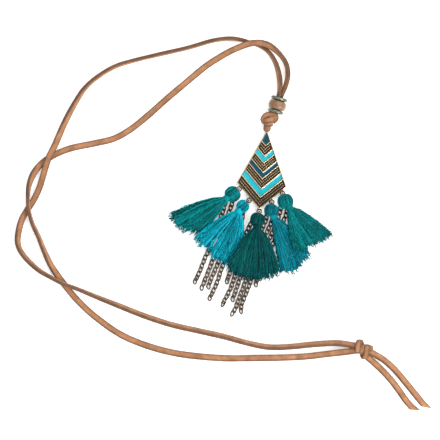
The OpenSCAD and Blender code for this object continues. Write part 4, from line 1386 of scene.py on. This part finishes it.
def make_plate():
    """The antiqued casting and its rope rows of beads."""
    plate = bpy.context.scene.necklace_plate
    parts, before, field, top = plate_parts()
    points, faces = joined(parts)
    raised = np.clip((points[:, 2] - field) / (top - RUB_TOP - field), 0, 1) ** RUB_FALL
    # The eyes stay darker than the body and its ridges
    raised[sum(len(part[0]) for part in parts[:before]):] *= EYE_DARKER
    # The top corner lies in the lace's shade and stays dark
    shade_length, least = LACE_SHADE
    raised *= np.clip((plate.top - points[:, 1]) / shade_length + least, least, 1)
    put("plate_casting", (points, faces), material_of("antique_brass"), ["pendant_plate"],
        {"raised": raised}, sharp=35)
    spots, aims = rope_points()
    spots[:, 2] = field + ROPE_LIFT
    guide = guide_mesh(
        "plate_ropes", spots, vectors={"aim": aims}, numbers={"roll": np.zeros(len(spots))})
    ropes = grow("plate_ropes", guide, bead_tree(), {
        "Length": plate.bead_pitch, "Width": plate.bead_width, "Height": plate.bead_width * ROPE_HEIGHT,
        "Material": material_of("rope_brass")})
    declared(ropes, ["pendant_plate"])


def meniscus(share):
    """How far up its wall a row of enamel stands at a share of its half width."""
    return max(0.0, (abs(share) - CLIMB_FROM) / (1 - CLIMB_FROM))


def enamel_vee(low, high, base, settings):
    """A chevron of enamel, dished between its walls."""
    plate, _, slope, slant = plate_shape()
    inset = plate.rim + settings.gap
    low, high = row_y(low) + settings.gap * slant, row_y(high) - settings.gap * slant
    loops, walls, polish = [], [], []
    for u in np.linspace(-1, 1, 61):
        loop = []
        end = max(0.0, (abs(u) - END_FROM) / (1 - END_FROM))
        for v in np.linspace(-1, 1, 15):
            at = low + (high - low) * (v + 1) / 2
            x = arm_end(at, inset)[0]
            z = base + settings.height + settings.rise * max(meniscus(v), meniscus(end))
            loop.append(plate_point(x * u, at + slope * x * abs(u), z))
            # wall: painted shade towards the walls and the arm's ends
            walls.append(max(abs(v) ** WALL_SHADE_FALL, end**END_FALL))
            polish.append(min(1, max(0, (v - POLISH_FROM) * POLISH_GAIN)) * min(1, max(0, u * ARM_GAIN)))
        loops.append(loop + [(p[0], p[1], base) for p in (loop[-1], loop[0])])
        walls += [1, 1]
        polish += [0, 0]
    return loft(loops), {"wall": np.array(walls), "polish": np.array(polish)}


def enamel_kite(low, base, settings):
    """The drop of enamel at the plate's top, dished from its outline."""
    plate, *_, slant = plate_shape()
    inset = plate.rim + settings.gap
    low = row_y(low) + settings.gap * slant
    right = arm_end(low, inset)
    corners = np.array([kite(inset)[0], right, (0, low), (-right[0], right[1])])
    outline = np.vstack([
        corners[k] + (corners[(k + 1) % 4] - corners[k]) * np.linspace(0, 1, 14, endpoint=False)[:, None]
        for k in range(4)])
    middle = np.array([0, (corners[1][1] * 2 + corners[0][1] + low) / 4])
    loops, walls = [[(*plate_point(*p)[:2], base) for p in outline]], [1] * len(outline)
    for share in np.linspace(1, 0.02, 12):
        z = base + settings.height + settings.rise * meniscus(share)
        loops.append([plate_point(*(middle + (p - middle) * share), z) for p in outline])
        # wall: painted shade towards the drop's outline
        walls += [share**WALL_SHADE_FALL] * len(outline)
    return loft(loops), {"wall": np.array(walls), "polish": np.zeros(len(walls))}


def make_enamel():
    """Four glossy enamel fields."""
    plate = bpy.context.scene.necklace_plate
    settings = bpy.context.scene.necklace_enamel
    base = plate.thickness - plate.field_depth + settings.gap
    deep, bright = "deep_teal_enamel", "turquoise_enamel"
    fields = [("enamel_drop", enamel_kite(DROP, base, settings), deep)]
    for i, (low, high) in enumerate(CHEVRONS):
        shape, values = enamel_vee(low, high, base, settings)
        if i != DEEP_CHEVRON:
            values["polish"] *= OUTER_POLISH
        fields.append((f"enamel_chevron_{i + 1}", (shape, values), deep if i == DEEP_CHEVRON else bright))
    for node, (shape, values), finish in fields:
        put(node + "_glaze", shape, material_of(finish), [node], values, sharp=50)


# Jump rings and chains


def ring_place(i):
    """Where a jump ring stands: its eye, the height of its middle, and the middle's distance from the eye."""
    eye = plate_point(*eye_local(i)[0])
    height = RING_R + RING_WIRE / 2 + CLEAR
    eye_z = bpy.context.scene.necklace_plate.thickness - EYE_T / 2
    return eye, height, math.sqrt(RING_R**2 - (height - eye_z) ** 2)


def make_jump_rings():
    """The upright jump rings keep the part's own shape and get their finish."""
    for i in range(len(EYES)):
        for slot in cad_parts[f"jump_ring_{i + 1}"].material_slots:
            slot.material = material_of("ring_brass")


def chain_line(k):
    """The smooth line of a chain from its jump ring to its end."""
    ring, angle, lead, lift = STARTS[k]
    eye, height, reach = ring_place(ring)
    aim = heading(TASSELS[ring][0])
    down = math.radians(angle)
    start = eye + aim * (reach + RING_R * math.cos(down))
    start[2] = height - RING_R * math.sin(down)
    after = start + heading(lead) * LEAD
    after[2] = lift
    return smooth_run([start, after, *[(x, y, CHAIN_REST) for x, y in WAYS[k]]], 8)


def make_chains():
    """Ten curb chains, each hung on its jump ring by a round link."""
    settings = bpy.context.scene.necklace_chains
    tree = chain_tree()
    pitch = settings.link_length - 2 * settings.wire - settings.gap
    for k in range(len(WAYS)):
        node = f"chain_{k + 1}"
        line = chain_line(k)
        along = lengths(line)
        shift, first_roll = FIRST_LINKS[k % 2]
        second = shift + (settings.round_diameter + settings.link_length - settings.wire * 3) / 2 - settings.gap
        spots = second + np.arange(int((along[-1] - second) / pitch) + 1) * pitch
        before = at_lengths(line, along, np.concatenate([[0], spots - pitch / 2]))
        after = at_lengths(line, along, np.concatenate([[2 * shift], spots + pitch / 2]))
        rolls = [first_roll] + [
            (LINK_ROLL if j % 2 else -LINK_ROLL) + LINK_STRAY * noise.noise((k * 3.1, j * 0.45, 0))
            for j in range(len(spots))]
        guide = guide_mesh(
            node, (before + after) / 2, vectors={"aim": after - before}, numbers={"roll": np.radians(rolls)})
        store(guide, {"form": [0] + [1] * len(spots)}, "INT")
        chain = grow(node + "_links", guide, tree, {
            "Link length": settings.link_length, "Link width": settings.link_width, "Wire": settings.wire,
            "Twist": settings.twist, "Slant": settings.slant, "Round diameter": settings.round_diameter,
            "Material": material_of("dark_bronze")})
        declared(chain, [node])


# Tassels


def blend3(values, f):
    """A smooth run through three values, for one side, the middle and the other side."""
    a, b, c = values
    return a + (4 * b - 3 * a - c) * f + (2 * a - 4 * b + 2 * c) * f * f


def head_middle(i):
    """Middle of a tassel's head on the surface, its direction and its height."""
    eye, _, reach = ring_place(i)
    aim = heading(TASSELS[i][0])
    return eye + aim * (reach + RING_R * HEAD_PAST), aim, HEAD_UNDER + HEAD_H


def skirt_strands(i):
    """Guide strands of a skirt: rows of x, y, z, half width and half height."""
    middle, _, head_z = head_middle(i)
    radius, skirt_aim = TASSELS[i][1:]
    forward, aside = heading(skirt_aim), heading(skirt_aim + 90)
    strands = []
    for _, span, reach, tips, full, near in (lobe for lobe in LOBES if lobe[0] == i):
        width = span[1] - span[0]
        n = max(3, round(LOCK_COUNT * width / FULL_SPAN))
        for k in range(n):
            f = (k + 0.5) / n
            a = math.radians(span[0] + width * f - skirt_aim)
            far, tip, rest = (blend3(values, f) for values in (reach, tips, near))
            thick = max(TIP_T, SKIRT_T * blend3(full, f))
            rests = [head_z - NECK_D / 2 + ROOT_LIFT, rest, (tip + max(OVER_CHAIN, tip)) / 2, tip]
            talls = [NECK_D * ROOT_TALL, thick, max(TIP_T, thick * THINNED), TIP_T]
            lock = far * math.radians(width) / n
            start = middle + forward * radius * NECK_SHARE * ROOT_START
            rows = [(*start[:2], head_z, NECK_D * ROOT_HALF, NECK_D * ROOT_HALF)]
            for (share, spread), low, tall in zip(STATIONS, rests, talls):
                u = radius * NECK_SHARE * (1 - share) + far * math.cos(a) * share
                v = far * math.sin(a) * spread
                wide = lock * (LOCK_WIDTH[0] + LOCK_WIDTH[1] * spread) if share else NECK_D * ROOT_WIDE
                place = middle + forward * u + aside * v
                rows.append((*place[:2], low + tall / 2, wide / 2, tall / 2))
            strands.append(smooth_run(rows, 3))
    return strands


def strand_frame(rows):
    """Sideways and upward directions along a strand."""
    tangents = unit(np.gradient(rows[:, :3], axis=0))
    across = level_sides(tangents)
    return across, np.cross(tangents, across)


def body(strands, ripples, reach, seed, tone):
    """A closed body for each strand, rippled lengthwise by its threads, with each thread's tint, painted shade in
    the grooves between them, and the tips.
    """
    random = np.random.default_rng(seed)
    count = ripples * RIPPLE_POINTS
    turn = np.arange(count) * math.tau / count
    parts, tints, tips = [], [], []
    for rows in strands:
        along = lengths(rows[:, :3])
        share = np.linspace(0, reach * random.uniform(*BODY_CUT), max(8, int(along[-1] / BODY_STEP)))
        fine = at_lengths(rows, along, share * along[-1])
        across, up = strand_frame(fine)
        phase = random.uniform(0, math.tau, ripples)
        drift = np.sin(phase[None] + share[:, None] * random.uniform(*DRIFT_WAVES, ripples)[None])
        drift = np.repeat(drift, RIPPLE_POINTS, axis=1)
        turns = turn[None] + random.uniform(0, math.tau) + share[:, None] * BODY_TWIST + drift * DRIFT_TURN
        depth = RIPPLE_DEPTH * (np.cos(turn * ripples)[None] - 1) + DRIFT_DEPTH * drift
        wide, tall = (np.maximum(fine[:, k:k + 1] + depth, 0.0001) for k in (3, 4))
        parts.append(loft(
            fine[:, None, :3] + (wide * np.cos(turns))[..., None] * across[:, None]
            + (tall * np.sin(turns))[..., None] * up[:, None]))
        own = np.repeat(random.uniform(*BODY_TINT, ripples), RIPPLE_POINTS)[None]
        tint = tone * own * (1 + DRIFT_TINT * drift)
        # Painted shade in the grooves between the threads
        groove_shade = np.where(np.arange(count) % RIPPLE_POINTS, GROOVE_SHADE, 1)[None]
        tints.append((tint * groove_shade).ravel())
        tips.append(np.repeat(share, count))
    return joined(parts), {"tint": np.concatenate(tints), "tip": np.concatenate(tips)}


def strand_guide(name, strands):
    """A guide mesh of strands, each an array of x, y, z, half width and half height."""
    points, edges, span, rise = [], [], [], []
    for rows in strands:
        start = len(points)
        across, up = strand_frame(rows)
        points += rows[:, :3].tolist()
        edges += [(start + j, start + j + 1) for j in range(len(rows) - 1)]
        span += (across * rows[:, 3:4]).tolist()
        rise += (up * rows[:, 4:5] * STRAND_FILL).tolist()
    return guide_mesh(name, points, edges, vectors={"span": span, "rise": rise})


def head_strands(i):
    """A strand through each of a wound head's two lobes, from the jump ring to the neck."""
    middle, aim, head_z = head_middle(i)
    radius = TASSELS[i][1]
    long, wide, apart = (radius * share for share in LOBE_SHAPE)
    aside = np.array([-aim[1], aim[0], 0])
    turn = np.linspace(*LOBE_ENDS, 15) * math.pi
    strands = []
    for lobe in (-1, 1):
        centre = middle + aside * lobe * apart + np.array([0, 0, head_z])
        strands.append(np.array([
            (*(centre - aim * long * math.cos(t)), wide * math.sin(t), HEAD_H * math.sin(t)) for t in turn]))
    return strands


def binding_strands(i):
    """The cord that binds a neck, as one wound strand."""
    middle, _, head_z = head_middle(i)
    radius, skirt_aim = TASSELS[i][1:]
    forward, aside = heading(skirt_aim), heading(skirt_aim + 90)
    pitch = bpy.context.scene.necklace_threads.wound * BINDING[0]
    start = radius * NECK_SHARE - pitch * NECK_TURNS * TURNS_BEFORE
    r = NECK_D / 2 * BINDING[1]
    rows = []
    for t in np.linspace(0, NECK_TURNS, NECK_TURNS * 20 + 1):
        a = math.tau * t
        place = middle + forward * (start + pitch * t) + aside * r * math.cos(a)
        rows.append((*place[:2], head_z + r * math.sin(a), 0, 0))
    return [np.array(rows)]


def make_tassels():
    """Five tassels, thread by thread: skirts, wound heads and bound necks."""
    settings = bpy.context.scene.necklace_threads
    tree = thread_tree()
    for i in range(len(TASSELS)):
        finish = "bright_teal_thread" if i in BRIGHT_TASSELS else "dark_teal_thread"
        node, seed = f"tassel_{i + 1}", settings.seed + 31 * i
        skirt, head = skirt_strands(i), head_strands(i)
        bodies = [
            body(skirt, settings.ripples, BODY_REACH, seed, TONES[i]),
            body(head, settings.ripples * 2, 1, seed + 1, TONES[i])]
        for part, (shape, values) in zip(("locks", "head"), bodies):
            put(f"{node}_{part}", shape, material_of(finish), [node], values, sharp=180)
        pieces = [
            ("threads", skirt, settings.count, settings.diameter, settings.wave, RAGGED),
            ("windings", head, settings.count * 2, settings.diameter, settings.wave * WINDING_WAVE, 0.0),
            ("binding", binding_strands(i), 1, settings.wound, 0.0, 0.0),
        ]
        for part, strands, count, diameter, wave, ragged in pieces:
            name = f"{node}_{part}"
            made = grow(name, strand_guide(name, strands), tree, {
                "Threads": count, "Diameter": diameter, "Step": settings.step, "Wave": wave, "Ragged": ragged,
                "Tone": TONES[i], "Seed": seed, "Material": material_of(finish)})
            declared(made, [node])


# Operators and panel


class StudioOperator(bpy.types.Operator):
    """Set up the floor, the lights and the camera"""

    bl_idname = "necklace.studio"
    bl_label = "Studio"

    def execute(self, context):
        make_studio()
        return {"FINISHED"}


class LacesOperator(bpy.types.Operator):
    """Lay the two strands of the lace, its tails and its knots"""

    bl_idname = "necklace.laces"
    bl_label = "Laces and Knots"

    def execute(self, context):
        make_laces()
        return {"FINISHED"}


class StackOperator(bpy.types.Operator):
    """Turn the wooden bead and its patinated rings"""

    bl_idname = "necklace.stack"
    bl_label = "Bead and Rings"

    def execute(self, context):
        make_stack()
        return {"FINISHED"}


class PlateOperator(bpy.types.Operator):
    """Cast the kite plate with its rim, walls, eyes and rope rows"""

    bl_idname = "necklace.plate"
    bl_label = "Plate"

    def execute(self, context):
        make_plate()
        return {"FINISHED"}


class EnamelOperator(bpy.types.Operator):
    """Fill the four enamel fields"""

    bl_idname = "necklace.enamel"
    bl_label = "Enamel"

    def execute(self, context):
        make_enamel()
        return {"FINISHED"}


class JumpRingsOperator(bpy.types.Operator):
    """Finish the five jump rings"""

    bl_idname = "necklace.jump_rings"
    bl_label = "Jump Rings"

    def execute(self, context):
        make_jump_rings()
        return {"FINISHED"}


class ChainsOperator(bpy.types.Operator):
    """Link the ten curb chains"""

    bl_idname = "necklace.chains"
    bl_label = "Chains"

    def execute(self, context):
        make_chains()
        return {"FINISHED"}


class TasselsOperator(bpy.types.Operator):
    """Grow the five tassels thread by thread"""

    bl_idname = "necklace.tassels"
    bl_label = "Tassels"

    def execute(self, context):
        make_tassels()
        return {"FINISHED"}


SETTINGS = {
    "necklace_studio": StudioSettings,
    "necklace_leather": LeatherSettings,
    "necklace_stack": StackSettings,
    "necklace_plate": PlateSettings,
    "necklace_enamel": EnamelSettings,
    "necklace_chains": ChainSettings,
    "necklace_threads": ThreadSettings,
}
OPERATORS = [
    StudioOperator, LacesOperator, StackOperator, PlateOperator, EnamelOperator, JumpRingsOperator,
    ChainsOperator, TasselsOperator,
]


class NecklacePanel(bpy.types.Panel):
    """Lists the necklace's pieces and their sizes"""

    bl_idname = "VIEW3D_PT_necklace"
    bl_label = "Tassel Necklace"
    bl_space_type = "VIEW_3D"
    bl_region_type = "UI"
    bl_category = "Necklace"

    def draw(self, context):
        for operator in OPERATORS:
            self.layout.operator(operator.bl_idname)
        for name, kind in SETTINGS.items():
            box = self.layout.box()
            box.label(text=kind.__doc__.strip("."))
            group = getattr(context.scene, name)
            for key in kind.__annotations__:
                box.prop(group, key)


CLASSES = [*SETTINGS.values(), *OPERATORS, NecklacePanel]


def register():
    """Registers the classes and hangs the settings on the scene."""
    for kind in CLASSES:
        bpy.utils.register_class(kind)
    for name, kind in SETTINGS.items():
        setattr(bpy.types.Scene, name, PointerProperty(type=kind))


def unregister():
    """Takes the settings and the classes away again."""
    for name in SETTINGS:
        delattr(bpy.types.Scene, name)
    for kind in reversed(CLASSES):
        bpy.utils.unregister_class(kind)


def main():
    """Makes every piece."""
    register()
    bpy.ops.necklace.studio()
    bpy.ops.necklace.laces()
    bpy.ops.necklace.stack()
    bpy.ops.necklace.plate()
    bpy.ops.necklace.enamel()
    bpy.ops.necklace.jump_rings()
    bpy.ops.necklace.chains()
    bpy.ops.necklace.tassels()


if __name__ == "__main__":
    main()
